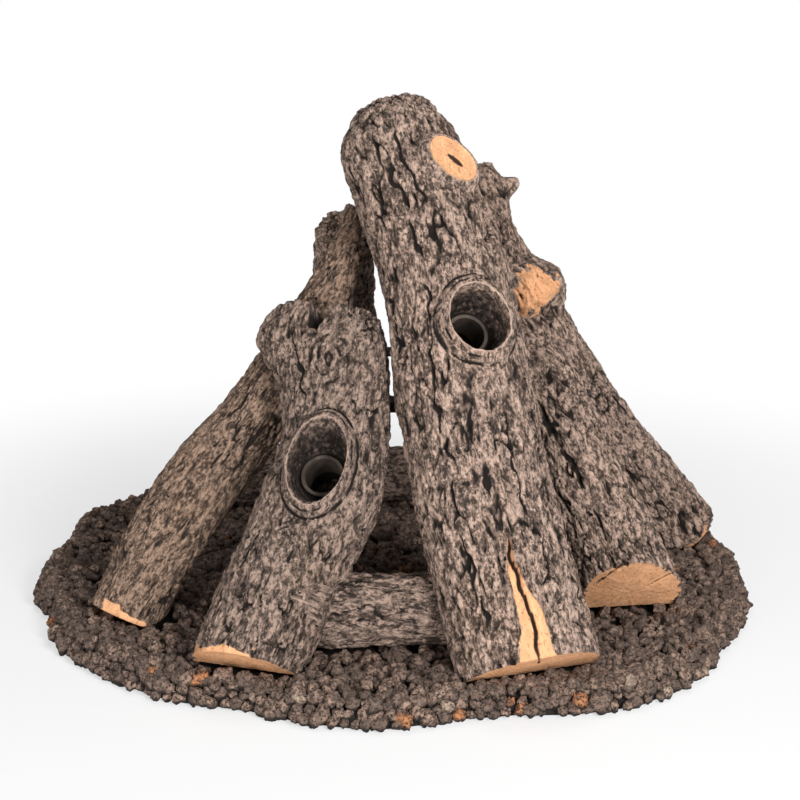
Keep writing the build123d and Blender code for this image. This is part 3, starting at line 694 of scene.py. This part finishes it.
def lava_material():
    """Dark porous lava, each granule with its own tone, with painted shade in its pores and pits, under each
    granule and on the core.
    """
    n = Nodes("lava_rock")
    patches = n.fit(n.noise(300, 3), 0.4, 0.6)
    pores = n.fit(n.voronoi(420), 0.05, 0.42)
    colour = n.over(
        n.mix(n.speckle(260, 4, 0.65, 0.36, 0.64), (0.07, 0.045, 0.033), (0.34, 0.228, 0.172)),
        (n.fit(n.value("tone"), 0.0, 0.5, 0.0, 0.75), (0.085, 0.06, 0.048)),
        (n.fit(n.value("rust"), 0.2, 0.8), n.mix(patches, (0.4, 0.17, 0.07), (0.16, 0.08, 0.05))),
        (n.fit(n.value("pale"), 0.2, 0.8), n.mix(patches, (0.36, 0.27, 0.2), (0.18, 0.13, 0.1))),
        # Painted shade in the pores, where the bump sinks.
        (n.fit(pores, 0.0, 1.0, 0.7, 0.0), (0.02, 0.014, 0.012)),
        # Painted shade in pits, under granules and on the core.
        (n.fit(n.value("cavity"), 0.25, 0.95), (0.014, 0.01, 0.008)))
    normal = n.bump(pores, 1.0, 0.0018)
    normal = n.bump(n.noise(520, 4, 0.65), 0.8, 0.0022, normal)
    rough = n.fit(n.noise(160, 3, 0.5), 0.3, 0.7, 0.75, 0.95)
    return n.finish(colour, rough, normal, Specular_IOR_Level=0.35)


oak = bark_material("oak_bark_cast", (0.39, 0.275, 0.217), (0.195, 0.136, 0.106),
                    (0.27, 0.178, 0.125), (0.016, 0.0105, 0.008))
# Painted shade: the oak bark at three quarters of its brightness, for logs that are to look shaded.
shaded_oak = bark_material("grey_bark_cast", (0.29, 0.206, 0.163), (0.148, 0.104, 0.082),
                     (0.206, 0.136, 0.096), (0.015, 0.01, 0.0075))
brown = bark_material("brown_bark_cast", (0.27, 0.182, 0.13), (0.145, 0.094, 0.066),
                      (0.23, 0.138, 0.086), (0.02, 0.012, 0.009))
lava = lava_material()
# For each finish of the solids: bright, dull and stain colour, roughness from and to, metallic, how stained
METALS = {finish: metal_material(*look) for finish, look in {
    "sleeve_steel": ("worn_sleeve", (0.115, 0.088, 0.068), (0.05, 0.038, 0.03), (0.02, 0.014, 0.011),
     0.55, 0.8, 0.3, 0.6),
    "cast_rod": ("worn_rod", (0.3, 0.27, 0.25), (0.16, 0.13, 0.11), (0.13, 0.055, 0.03), 0.45, 0.75, 0.9, 0.5),
    "stand_steel": ("worn_stand", (0.055, 0.05, 0.047), (0.022, 0.02, 0.019), (0.085, 0.04, 0.024),
     0.5, 0.8, 0.6, 0.35),
    "burner_steel": ("worn_burner", (0.42, 0.38, 0.34), (0.24, 0.21, 0.19), (0.1, 0.06, 0.05),
     0.28, 0.55, 1.0, 0.5),
    "hub_brass": ("worn_brass", (0.62, 0.44, 0.2), (0.42, 0.28, 0.12), (0.13, 0.085, 0.05),
     0.3, 0.55, 1.0, 0.4),
    "clip_steel": ("worn_clip", (0.5, 0.49, 0.47), (0.33, 0.32, 0.31), (0.12, 0.08, 0.06), 0.28, 0.5, 1.0, 0.3),
}.items()}


def dress(obj, material, slot, body, *nodes):
    """Give a piece its material, its body and the CAD nodes it stands for; its finish slot is not used."""
    obj.data.materials.append(material)
    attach(obj, body)
    if nodes:
        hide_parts(*nodes)


# ---- the logs, with the same sections as the solids
FRONT = Log(
    (118.376, -292.99, 26.0), (0.2893714, -0.7617755, 0.5796226), (-0.205828, 0.5418461, 0.814885),
    537.0, 121.0,
    [(-0.1, 1, 1, 0, 0), (0, 1, 1, 0, 0), (0.15, 1, 1, -0.02, -0.008),
     (0.3, 0.99, 0.99, -0.036, -0.015), (0.44, 0.965, 0.965, -0.004, 0), (0.6, 0.95, 0.95, 0.05, 0.02),
     (0.74, 0.945, 0.945, 0.043, 0.018), (0.86, 0.93, 0.93, -0.025, 0.005), (0.95, 0.86, 0.86, -0.065, 0),
     (1, 0.62, 0.62, -0.055, 0)], 100, depth=4.8, furrows=0.95)
FRONT_LEFT = Log(
    (-120.736, -284.436, 26.0), (-0.2605989, -0.7400108, 0.6200582), (0.2059592, 0.584853, 0.7845558),
    334.0, 111.0,
    [(-0.1, 0.85, 0.85, 0, 0), (0, 0.85, 0.85, 0, 0), (0.1, 0.87, 0.87, 0.04, -0.015),
     (0.2, 0.88, 0.87, 0.08, -0.032), (0.34, 0.9, 0.88, 0.17, -0.06), (0.48, 0.94, 0.88, 0.24, -0.075),
     (0.63, 0.87, 0.78, 0.26, -0.06), (0.77, 0.93, 0.68, 0.17, -0.02), (0.91, 1.12, 0.6, -0.025, 0.035),
     (1, 0.93, 0.5, -0.045, 0.03)], 200, cross=10.0, along=26.0, depth=3.8, furrows=1.0)
LEFT = Log(
    (-238.172, -163.691, 26.0), (-0.6348393, -0.4445192, 0.6319666), (0.5176767, 0.3624811, 0.7749956),
    434.0, 72.0,
    [(-0.1, 0.93, 0.93, -0.015, 0.02), (0, 0.93, 0.93, -0.015, 0.02), (0.12, 0.96, 0.96, -0.06, 0.1),
     (0.24, 1, 1, -0.07, 0.11), (0.36, 0.99, 0.99, -0.05, 0.08), (0.48, 0.92, 0.88, 0, 0),
     (0.61, 0.85, 0.8, 0.02, -0.02), (0.8, 0.72, 0.68, 0.02, 0), (0.91, 0.48, 0.45, -0.06, 0.11),
     (1, 0.19, 0.18, -0.19, 0.31)],
    300, saw=(0, -10.0, 0), cross=7.5, along=34.0, depth=2.6, furrows=0.7, rough=0.7)
RIGHT_FRONT = Log(
    (228.283, -156.895, 26.0), (0.5288403, -0.6369912, 0.5608655), (-0.3582628, 0.4315296, 0.827907),
    278.0, 86.0,
    [(-0.1, 1.04, 1.04, 0, 0), (0, 1.04, 1.04, 0, 0), (0.21, 1, 1, 0, 0),
     (0.44, 0.96, 0.96, -0.015, -0.015), (0.68, 0.87, 0.87, -0.03, -0.03), (0.88, 0.72, 0.72, -0.02, 0),
     (1, 0.48, 0.48, 0, 0.01)],
    400, saw=(0.072, 15.0, -27.0), cross=11.0, along=24.0, depth=5.0, furrows=0.8)
RIGHT = Log(
    (287.41, 74.865, 26.0), (0.8123139, 0.289252, 0.5064379), (-0.4770936, -0.1698854, 0.8622764),
    442.0, 98.0,
    [(-0.1, 1, 1, 0, 0.01), (0, 1, 1, 0, 0.01), (0.155, 0.965, 0.965, 0.006, -0.08),
     (0.31, 0.94, 0.94, 0.026, -0.195), (0.56, 0.87, 0.85, 0.06, -0.235), (0.735, 0.71, 0.71, 0.048, -0.185),
     (0.86, 0.56, 0.56, 0.02, -0.15), (0.95, 0.545, 0.545, 0.02, -0.03), (1, 0.38, 0.38, 0.01, 0.03)],
    500, cross=11.5, along=30.0, depth=4.2, furrows=0.8)
REAR = Log(
    (-52.615, 298.397, 26.0), (-0.0206822, 0.7898208, 0.6129888), (0.0160462, -0.6127788, 0.7900916),
    405.0, 84.0,
    [(-0.1, 1, 1, 0, 0), (0, 1, 1, 0, 0), (0.3, 0.96, 0.96, 0.015, 0),
     (0.6, 0.86, 0.86, 0.03, -0.01), (0.85, 0.72, 0.72, 0.01, 0), (1, 0.66, 0.66, 0, 0)],
    600, cross=9.5, along=30.0, depth=3.6)
BASE_SHARES = [(0, 0.92, 0.92, 0, 0), (0.25, 1, 1, 0.02, 0),
               (0.6, 0.97, 0.97, -0.02, 0), (1, 0.9, 0.9, 0, 0)]


def lying(middle, distance, length, width, turn, seed):
    """Log that lies on the bed from left to right."""
    a = math.radians(turn)
    along = np.array([math.cos(a), math.sin(a), 0.0])
    origin = np.array([middle, distance, BED_TOP + REST + width / 2]) - along * length / 2
    return Log(origin, (0, 0, 1), along, length, width, BASE_SHARES, seed, cross=10.0, along=30.0, depth=3.4)


FRONT_BASE = lying(-5.0, -229.0, 190.0, 64.0, 1.5, 700)
REAR_BASE = lying(-62.0, 182.0, 250.0, 62.0, 4.0, 800)
LOGS = [FRONT, FRONT_LEFT, LEFT, RIGHT_FRONT, RIGHT, REAR, FRONT_BASE, REAR_BASE]

front_knot = FRONT.spot(0.556, -2.0)
front_stub = FRONT.spot(0.845, 14.0)
left_knot = FRONT_LEFT.spot(0.53, 8.0)
boss = RIGHT.spot(0.738, -78.0)
horn = RIGHT.spot(0.938, -18.0)

FRONT.features += [
    (calm, front_knot, FRONT_KNOT, 1.8), (calm, front_stub, STUB, 1.7, 0.5),
    (swirl, FRONT.spot(0.1, 11.5), 22.0, 1.9, 5.6), (split, -15.0, 104.7, 34.0, 3.6),
    (bulge, 0.52, -110.0, 0.1, 40.0, 5.0),
    (trench, [(0.04, -46), (0.22, -50), (0.34, -43), (0.48, -50), (0.6, -44), (0.78, -40), (0.95, -48)],
     3.4, 3.6),
    (trench, [(0.24, -20), (0.3, -16), (0.36, -22), (0.44, -18)], 3.0, 3.4),
    (trench, [(0.08, 10), (0.2, 14), (0.32, 7), (0.42, 11)], 2.8, 3.2),
    (trench, [(0.06, 44), (0.22, 39), (0.42, 49), (0.58, 42), (0.72, 45)], 3.2, 3.4),
    (trench, [(0.66, -24), (0.76, -18), (0.86, -27), (0.94, -24)], 3.2, 3.6),
    (trench, [(0.1, 80), (0.3, 85), (0.55, 76), (0.75, 84), (0.92, 80)], 3.2, 3.4),
    (trench, [(0.1, -90), (0.3, -96), (0.55, -85), (0.75, -95), (0.93, -90)], 3.2, 3.4),
]
FRONT_LEFT.features += [
    (calm, left_knot, LEFT_KNOT, 1.7), (bump, FRONT_LEFT.spot(0.308, 7.5), (20.0, 15.0), 3.2, 0.8, 0.35, 0.7),
    (swirl, FRONT_LEFT.spot(0.308, 7.5), 15.0, 1.3, 5.4), (swirl, FRONT_LEFT.spot(0.826, 16.5), 34.0, 1.9, 7.0),
    (bare, -0.05, 0.024, -66.0, 24.0),
    (trench, [(0.05, -30), (0.15, -34), (0.28, -28), (0.38, -36)], 3.0, 3.4),
    (trench, [(0.68, -22), (0.76, -26), (0.84, -18), (0.9, -24)], 2.8, 3.4),
]
LEFT.features += [(bare, -0.05, 0.018, 8.0, 124.0)]
RIGHT_FRONT.features += [(trench, [(0.15, -52), (0.35, -44), (0.55, -50), (0.8, -60)], 4.6, 5.0)]
RIGHT.features += [
    (bump, RIGHT.spot(0.7, -24.0), (30.0, 26.0), 12.0, 0.9, 0.25, 0.7),
    (bump, boss, (29.0, 29.0), 16.0, 0.75, 0.4, 1.0, 1.0, (-2.0, -4.0)),
    (bump, horn, (10.0, 10.0), 12.0, 0.8, 0.4, 0.6),
    (bare, 0.893, 0.93, -119.0, -93.0), (bare, -0.05, 0.014, -126.0, -40.0),
    (trench, [(0.06, -34), (0.2, -28), (0.38, -38), (0.58, -33)], 3.4, 3.8),
    (trench, [(0.05, 14), (0.25, 8), (0.5, 20), (0.7, 10), (0.88, 15)], 3.2, 3.6),
    (trench, [(0.08, 66), (0.3, 72), (0.55, 61), (0.84, 66)], 3.2, 3.4),
]


def forked(point, cavity):
    """Open the fork at the top of the short front log, with painted shade that deepens into it."""
    depth = 30.0 * (1 - smooth((np.abs(point[:, 1] + 1.0) - 4.0) / 9.0))
    top = FRONT_LEFT.length - depth + 1.2 * layered(point / 6.0, 2, 231)
    low = (point[:, 2] > top) & (depth > 0.5)
    amount = np.where(low, point[:, 2] - top, 0)
    point[:, 2] -= amount
    lobe = smooth((point[:, 2] - FRONT_LEFT.length * 0.93) / 20.0)
    point[:, 2] += lobe * 2.5 * layered(point / 11.0, 2, 233)
    return point, np.maximum(cavity, smooth(amount / 26.0) * 0.9)


# Cracks in the sawn feet: start and end as shares of the half width, outward and right, and how wide in mm
FRONT_CRACKS = [(0.98, -0.24, 0.45, -0.05, 2.2), (0.8, 0.45, 0.55, 0.5, 1.0)]
RIGHT_FRONT_CRACKS = [(0.8, -0.6, -0.35, -0.92, 2.4), (0.9, 0.42, 0.42, 0.22, 1.8),
                      (-0.5, 0.55, -0.25, 0.45, 1.2)]
FRONT_HOLES = [(front_knot, FRONT_KNOT, 1.34), (front_stub, STUB, 1.17)]
FRONT_LEFT_HOLES = [(left_knot, LEFT_KNOT, 1.3)]
GRAIN = 1.0
# For each log: mm between points of its bark, and what its ends, knots and neighbours ask for
MESHES = {
    "front_log": (FRONT, 1.36, dict(top_rise=7.0, holes=FRONT_HOLES, cracks=FRONT_CRACKS)),
    "front_left_log": (FRONT_LEFT, 1.2, dict(top_rise=4.0, holes=FRONT_LEFT_HOLES, shape=forked)),
    "left_log": (LEFT, 1.2, dict(top_rise=2.0, off=[FRONT_LEFT])),
    "right_front_log": (RIGHT_FRONT, 1.2, dict(top_rise=4.0, cracks=RIGHT_FRONT_CRACKS)),
    "right_log": (RIGHT, 1.2, dict(top_rise=4.0)),
    "rear_log": (REAR, 1.3, dict(top_rise=5.0)),
    "front_base_log": (FRONT_BASE, 1.3, dict(top_tan=1.0, off=[FRONT, FRONT_LEFT])),
    "rear_base_log": (REAR_BASE, 1.5, dict(top_tan=1.0)),
}
# The left log's brown is its own colour; the other logs get the darker copy of the oak bark, which is painted
# shade.
TINTS_AND_SHADED_COPIES = {"left_log": brown, "front_left_log": shaded_oak, "front_base_log": shaded_oak, "rear_base_log": shaded_oak}
FIXED = ("left_log", "front_base_log", "rear_base_log")
for name, (log, spacing, settings) in MESHES.items():
    slot = "brown_bark" if name == "left_log" else "oak_bark"
    body = "base" if name in FIXED else name
    dress(log_mesh(name + "_bark", log, spacing * GRAIN, **settings), TINTS_AND_SHADED_COPIES.get(name, oak), slot, body, name)


def shaded_check(u, v):
    """Depth of the opening in the sawn face of the branch stub, which is also painted dark as shade."""
    a = math.radians(STUB_TURN)
    along = (u + 1.0) * math.cos(a) + (v - 3.0) * math.sin(a)
    across = (v - 3.0) * math.cos(a) - (u + 1.0) * math.sin(a)
    return 0.9 * (1 - smooth((np.hypot(along / 9.5, across / 3.2) - 0.65) / 0.5))


knot = patch_mesh("front_log_knot", FRONT, front_knot, FRONT_KNOT, COLLAR, 121, cup, -46.0)
dress(knot, oak, "oak_bark", "front_log")
knot = patch_mesh("front_left_log_knot", FRONT_LEFT, left_knot, LEFT_KNOT, COLLAR, 221, cup, -36.0, outer=1.38)
dress(knot, shaded_oak, "oak_bark", "front_left_log")
stub = patch_mesh("front_log_stub", FRONT, front_stub, STUB, STUB_RISE, 131, sawn, shaded_check,
                  ovalness=STUB_OVAL, grooved=0.0)
dress(stub, oak, "oak_bark", "front_log")

# ---- bed of granules
# The bed's edge, as bearings in degrees and shares of its radius
EDGE = np.array([
    (0, 0.983), (12, 0.98), (25, 1.0), (45, 0.995), (90, 1.012), (125, 0.985), (145, 1.02), (157, 1.03),
    (166, 0.975), (175, 0.968), (183, 0.984), (192, 0.98), (200, 0.95), (208, 0.985), (217, 0.985), (228, 0.995),
    (238, 0.997), (248, 0.96), (258, 0.99), (268, 1.012), (280, 0.965), (288, 0.975), (296, 1.025), (305, 1.06),
    (313, 1.045), (320, 1.03), (328, 0.99), (338, 0.992), (347, 0.985), (355, 0.978), (360, 0.983)])
# Places of granules that are rust-red or pale
RUSTY = [(11, -37), (17, -362), (62, -356), (108, -342), (153, -340), (269, -240), (325, 29), (282, -32)]
PALE = [(44, -319), (56, -350), (207, -318), (234, -286)]
PITCH = 11.4
EDGE_GRANULES = 206
GRANULE_SHAPES = 24
PIECES = 10
CORE_COLUMNS = 240
CORE_RINGS = 46


def bed_edge(bearing):
    """Radius of the bed's edge at bearings in degrees."""
    return BED_RADIUS * np.interp(np.mod(bearing, 360), EDGE[:, 0], EDGE[:, 1])


def within(x, y, margin):
    """Whether a place is a margin inside the bed's edge."""
    return math.hypot(x, y) < float(bed_edge(math.degrees(math.atan2(y, x)))) - margin


def rounded_ball(level):
    """Vertices and triangles of a ball made from an icosahedron."""
    g = (1 + 5**0.5) / 2
    v = [(-1, g, 0), (1, g, 0), (-1, -g, 0), (1, -g, 0), (0, -1, g), (0, 1, g), (0, -1, -g), (0, 1, -g),
         (g, 0, -1), (g, 0, 1), (-g, 0, -1), (-g, 0, 1)]
    f = [(0, 11, 5), (0, 5, 1), (0, 1, 7), (0, 7, 10), (0, 10, 11), (1, 5, 9), (5, 11, 4),
         (11, 10, 2), (10, 7, 6), (7, 1, 8), (3, 9, 4), (3, 4, 2), (3, 2, 6), (3, 6, 8), (3, 8, 9),
         (4, 9, 5), (2, 4, 11), (6, 2, 10), (8, 6, 7), (9, 8, 1)]
    v = [np.array(p) / np.linalg.norm(p) for p in v]
    for _ in range(level):
        middle, fresh = {}, []

        def half(a, b):
            key = (min(a, b), max(a, b))
            if key not in middle:
                p = v[a] + v[b]
                middle[key] = len(v)
                v.append(p / np.linalg.norm(p))
            return middle[key]

        for a, b, c in f:
            ab, bc, ca = half(a, b), half(b, c), half(c, a)
            fresh += [(a, ab, ca), (b, bc, ab), (c, ca, bc), (ab, bc, ca)]
        f = fresh
    return np.array(v), np.array(f)


def granules(dice):
    """Places and sizes of the loose granules: the top layer, the edge, then two loose scatters."""
    draw, spots = dice.uniform, []
    for row in range(-40, 41):
        for column in range(-38, 39):
            x = (column + 0.5 * (row % 2)) * PITCH + draw(-3.0, 3.0)
            y = row * PITCH * 0.866 + draw(-3.0, 3.0)
            size = draw(5.0, 9.2)
            if within(x, y, 13):
                spots.append((x, y, BED_TOP - 3.6 + draw(-3.2, 2.4), size))
    for level, (height, inset) in enumerate(((5.0, 6.0), (12.5, 9.0), (19.5, 13.0))):
        for k in range(EDGE_GRANULES):
            bearing = (k + draw(-0.3, 0.3) + 0.33 * level) * 360 / EDGE_GRANULES
            r = float(bed_edge(bearing)) - inset + draw(-2.5, 2.5)
            a = math.radians(bearing)
            z = height + draw(-1.0, 1.5)
            spots.append((r * math.cos(a), r * math.sin(a), z, draw(4.8, 8.8)))
    for _ in range(260):
        x, y = draw(40, 210), draw(-352, -285)
        if within(x, y, 9):
            spots.append((x, y, BED_TOP - draw(0.5, 4.0), draw(4.6, 7.4)))
    for _ in range(560):
        r, a = 352 * math.sqrt(draw(0, 1)), draw(0, TAU)
        if r < float(bed_edge(math.degrees(a))) - 20:
            z = BED_TOP + 2.4 + draw(-1.0, 1.6)
            spots.append((r * math.cos(a), r * math.sin(a), z, draw(4.2, 7.0)))
    spots = np.array(spots)
    free = np.ones(len(spots), bool)
    for log in LOGS:
        p = log.local(spots[:, :3] + np.array([0, 0, 4.0]))
        wide, thick, right, outward = log.section(p[:, 2])
        gap = 0.45 * spots[:, 3]
        k = np.sqrt(((p[:, 0] - outward) / (thick + gap)) ** 2 + ((p[:, 1] - right) / (wide + gap)) ** 2)
        free &= ~((k < 1) & (p[:, 2] > log.foot(p) - gap) & (p[:, 2] < log.length + gap))
    spots = spots[free]
    spots[:, 2] = np.maximum(spots[:, 2], spots[:, 3] * 0.92)
    return spots


def turn_matrix(dice):
    """Random rotation."""
    return np.array(Quaternion(dice.normal(size=4)).normalized().to_matrix())


def lava_mesh(name, points, quads, tris, marks):
    """Mesh of lava with its four marks: tone, rust, pale and painted shade."""
    values = dict(zip(("tone", "rust", "pale", "cavity"), marks))
    dress(make_mesh(name, points, quads, tris, values), lava, "lava", "base", "lava_bed")


def lava_pieces():
    """Granules in sectors round the bed."""
    dice = np.random.default_rng(41)
    ball, tri = rounded_ball(2)
    spots = granules(dice)
    shapes = []
    for k in range(GRANULE_SHAPES):
        stretch = np.array([1.0, dice.uniform(0.74, 1.0), dice.uniform(0.62, 0.86)])
        knobs = layered(ball * 1.25 + 9.0 * k, 3, 900 + k)
        pits = 1 - smooth(cells(ball * 2.2 + 5.0 * k, 930 + k)[0] / 0.42)
        r = 1 + 0.42 * knobs - 0.24 * pits
        # The shape's pits carry painted shade.
        shapes.append((ball * r[:, None] * stretch, np.clip(1.2 * pits - 0.6 * knobs, 0, 1)))
    sector = (np.degrees(np.arctan2(spots[:, 1], spots[:, 0])) % 360 // (360 // PIECES)).astype(int)
    rusty = (dice.uniform(0, 1, len(spots)) < 0.008).astype(float)
    pale = (dice.uniform(0, 1, len(spots)) < 0.01).astype(float)
    for places, mark in ((RUSTY, rusty), (PALE, pale)):
        for x, y in places:
            mark[np.argmin(np.hypot(spots[:, 0] - x, spots[:, 1] - y) - 0.4 * spots[:, 2])] = 1
    own = np.ones(len(ball))
    for part in range(PIECES):
        points, faces, marks = [], [], []
        for index in np.nonzero(sector == part)[0]:
            shape, dent = shapes[dice.integers(GRANULE_SHAPES)]
            place = spots[index]
            p = shape @ turn_matrix(dice).T * place[3] + place[:3]
            p[:, 2] = np.maximum(p[:, 2], 0.2)
            # Painted shade on the lower side of each granule.
            deep = 0.95 * smooth((place[2] - p[:, 2]) / place[3] + 0.35)
            faces.append(tri + len(points) * len(ball))
            points.append(p)
            tone = dice.uniform(0, 0.55)
            marks.append(np.stack([tone * own, rusty[index] * own, pale[index] * own, np.maximum(dent, deep)]))
        points, faces, marks = np.concatenate(points), np.concatenate(faces), np.concatenate(marks, 1)
        lava_mesh(f"lava_granules_{part + 1}", points, NO_FACES, faces, marks)


def lava_core():
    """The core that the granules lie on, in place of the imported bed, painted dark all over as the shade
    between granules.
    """
    a = np.arange(CORE_COLUMNS) * TAU / CORE_COLUMNS
    edge = bed_edge(np.degrees(a)) - 9.5
    rows = [np.stack([edge * np.cos(a), edge * np.sin(a), 0 * a + 0.3], 1)]
    for k in np.linspace(1, 0.01, CORE_RINGS):
        flat = np.stack([edge * k * np.cos(a), edge * k * np.sin(a), 0 * a], 1)
        top = BED_TOP - 7.5 - 9.0 * smooth(np.array([(k - 0.965) / 0.035])) + 2.0 * layered(flat / 9.0, 2, 951)
        rows.append(flat + np.stack([0 * a, 0 * a, top], 1))
    core = np.concatenate(rows)
    own = np.ones(len(core))
    quads = tube_faces(len(rows), CORE_COLUMNS)
    lava_mesh("lava_core", core, quads, NO_FACES, (0.5 * own, 0 * own, 0 * own, own))


lava_pieces()
lava_core()

# ---- metal parts keep their solids
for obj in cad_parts.values():
    for index, old in enumerate(obj.data.materials):
        for key, material in METALS.items():
            if old is not None and old.name.startswith(key):
                obj.data.materials[index] = material

# ---- floor, light and camera
floor_mesh = bpy.data.meshes.new("floor")
floor_mesh.from_pydata([(-30, -30, 0), (30, -30, 0), (30, 30, 0), (-30, 30, 0)], [], [(0, 1, 2, 3)])
floor = bpy.data.objects.new("floor", floor_mesh)
scene.collection.objects.link(floor)
n = Nodes("floor_paint")
n.tree.nodes.remove(n.tree.nodes["Principled BSDF"])
paint = n.add("ShaderNodeBsdfDiffuse", {"Color": n.mix(n.noise(6.0), (0.9, 0.9, 0.9), (0.93, 0.93, 0.93))})
glow = n.add("ShaderNodeEmission")
path = n.add("ShaderNodeLightPath")
seen = n.math("MAXIMUM", path.outputs["Is Camera Ray"], path.outputs["Is Glossy Ray"])
away = n.add("ShaderNodeVectorMath", {0: n.where}, operation="LENGTH")
spread = n.fit(away.outputs["Value"], 0.35, 0.95, 0.6, 1.0)
shaders = {0: n.math("MULTIPLY", seen, spread), 1: paint.outputs[0], 2: glow.outputs[0]}
blend = n.add("ShaderNodeMixShader", shaders)
n.feed(n.tree.nodes["Material Output"], {"Surface": blend.outputs[0]})
floor_mesh.materials.append(n.owner)

n = Nodes("studio", home=bpy.data.worlds)
path = n.add("ShaderNodeLightPath")
seen = n.math("MAXIMUM", path.outputs["Is Camera Ray"], path.outputs["Is Transmission Ray"])
level = n.add("ShaderNodeMapRange", {"Value": seen, "To Min": 0.20, "To Max": 1.0}).outputs["Result"]
n.feed(n.tree.nodes["Background"], {"Color": (1, 1, 1), "Strength": level})
scene.world = n.owner


def softbox(name, place, target, width, height, power):
    """Soft rectangular lamp aimed at a point."""
    data = bpy.data.lights.new(name, "AREA")
    data.shape = "RECTANGLE"
    data.size, data.size_y, data.energy = width, height, power
    lamp = bpy.data.objects.new(name, data)
    lamp.location = place
    lamp.rotation_euler = (Vector(target) - Vector(place)).to_track_quat("-Z", "Y").to_euler()
    scene.collection.objects.link(lamp)


softbox("key_light", (1.0, -2.1, 1.1), (0, 0, 0.15), 0.6, 0.6, 58)
softbox("fill_light", (-0.8, -2.3, 0.35), (0, 0, 0.2), 1.1, 0.7, 32)
softbox("top_light", (0.1, 0.3, 2.4), (0, 0, 0.1), 1.4, 1.4, 12)

camera_data = bpy.data.cameras.new("camera")
camera_data.lens = 80.6
camera_data.sensor_width = 36.0
camera_data.clip_end = 200.0
camera = bpy.data.objects.new("camera", camera_data)
camera.location = (0.009, -1.6914, 0.6156)
camera.rotation_euler = (math.radians(75.8), 0, 0)
scene.collection.objects.link(camera)
scene.camera = camera
scene.view_settings.view_transform = "Standard"
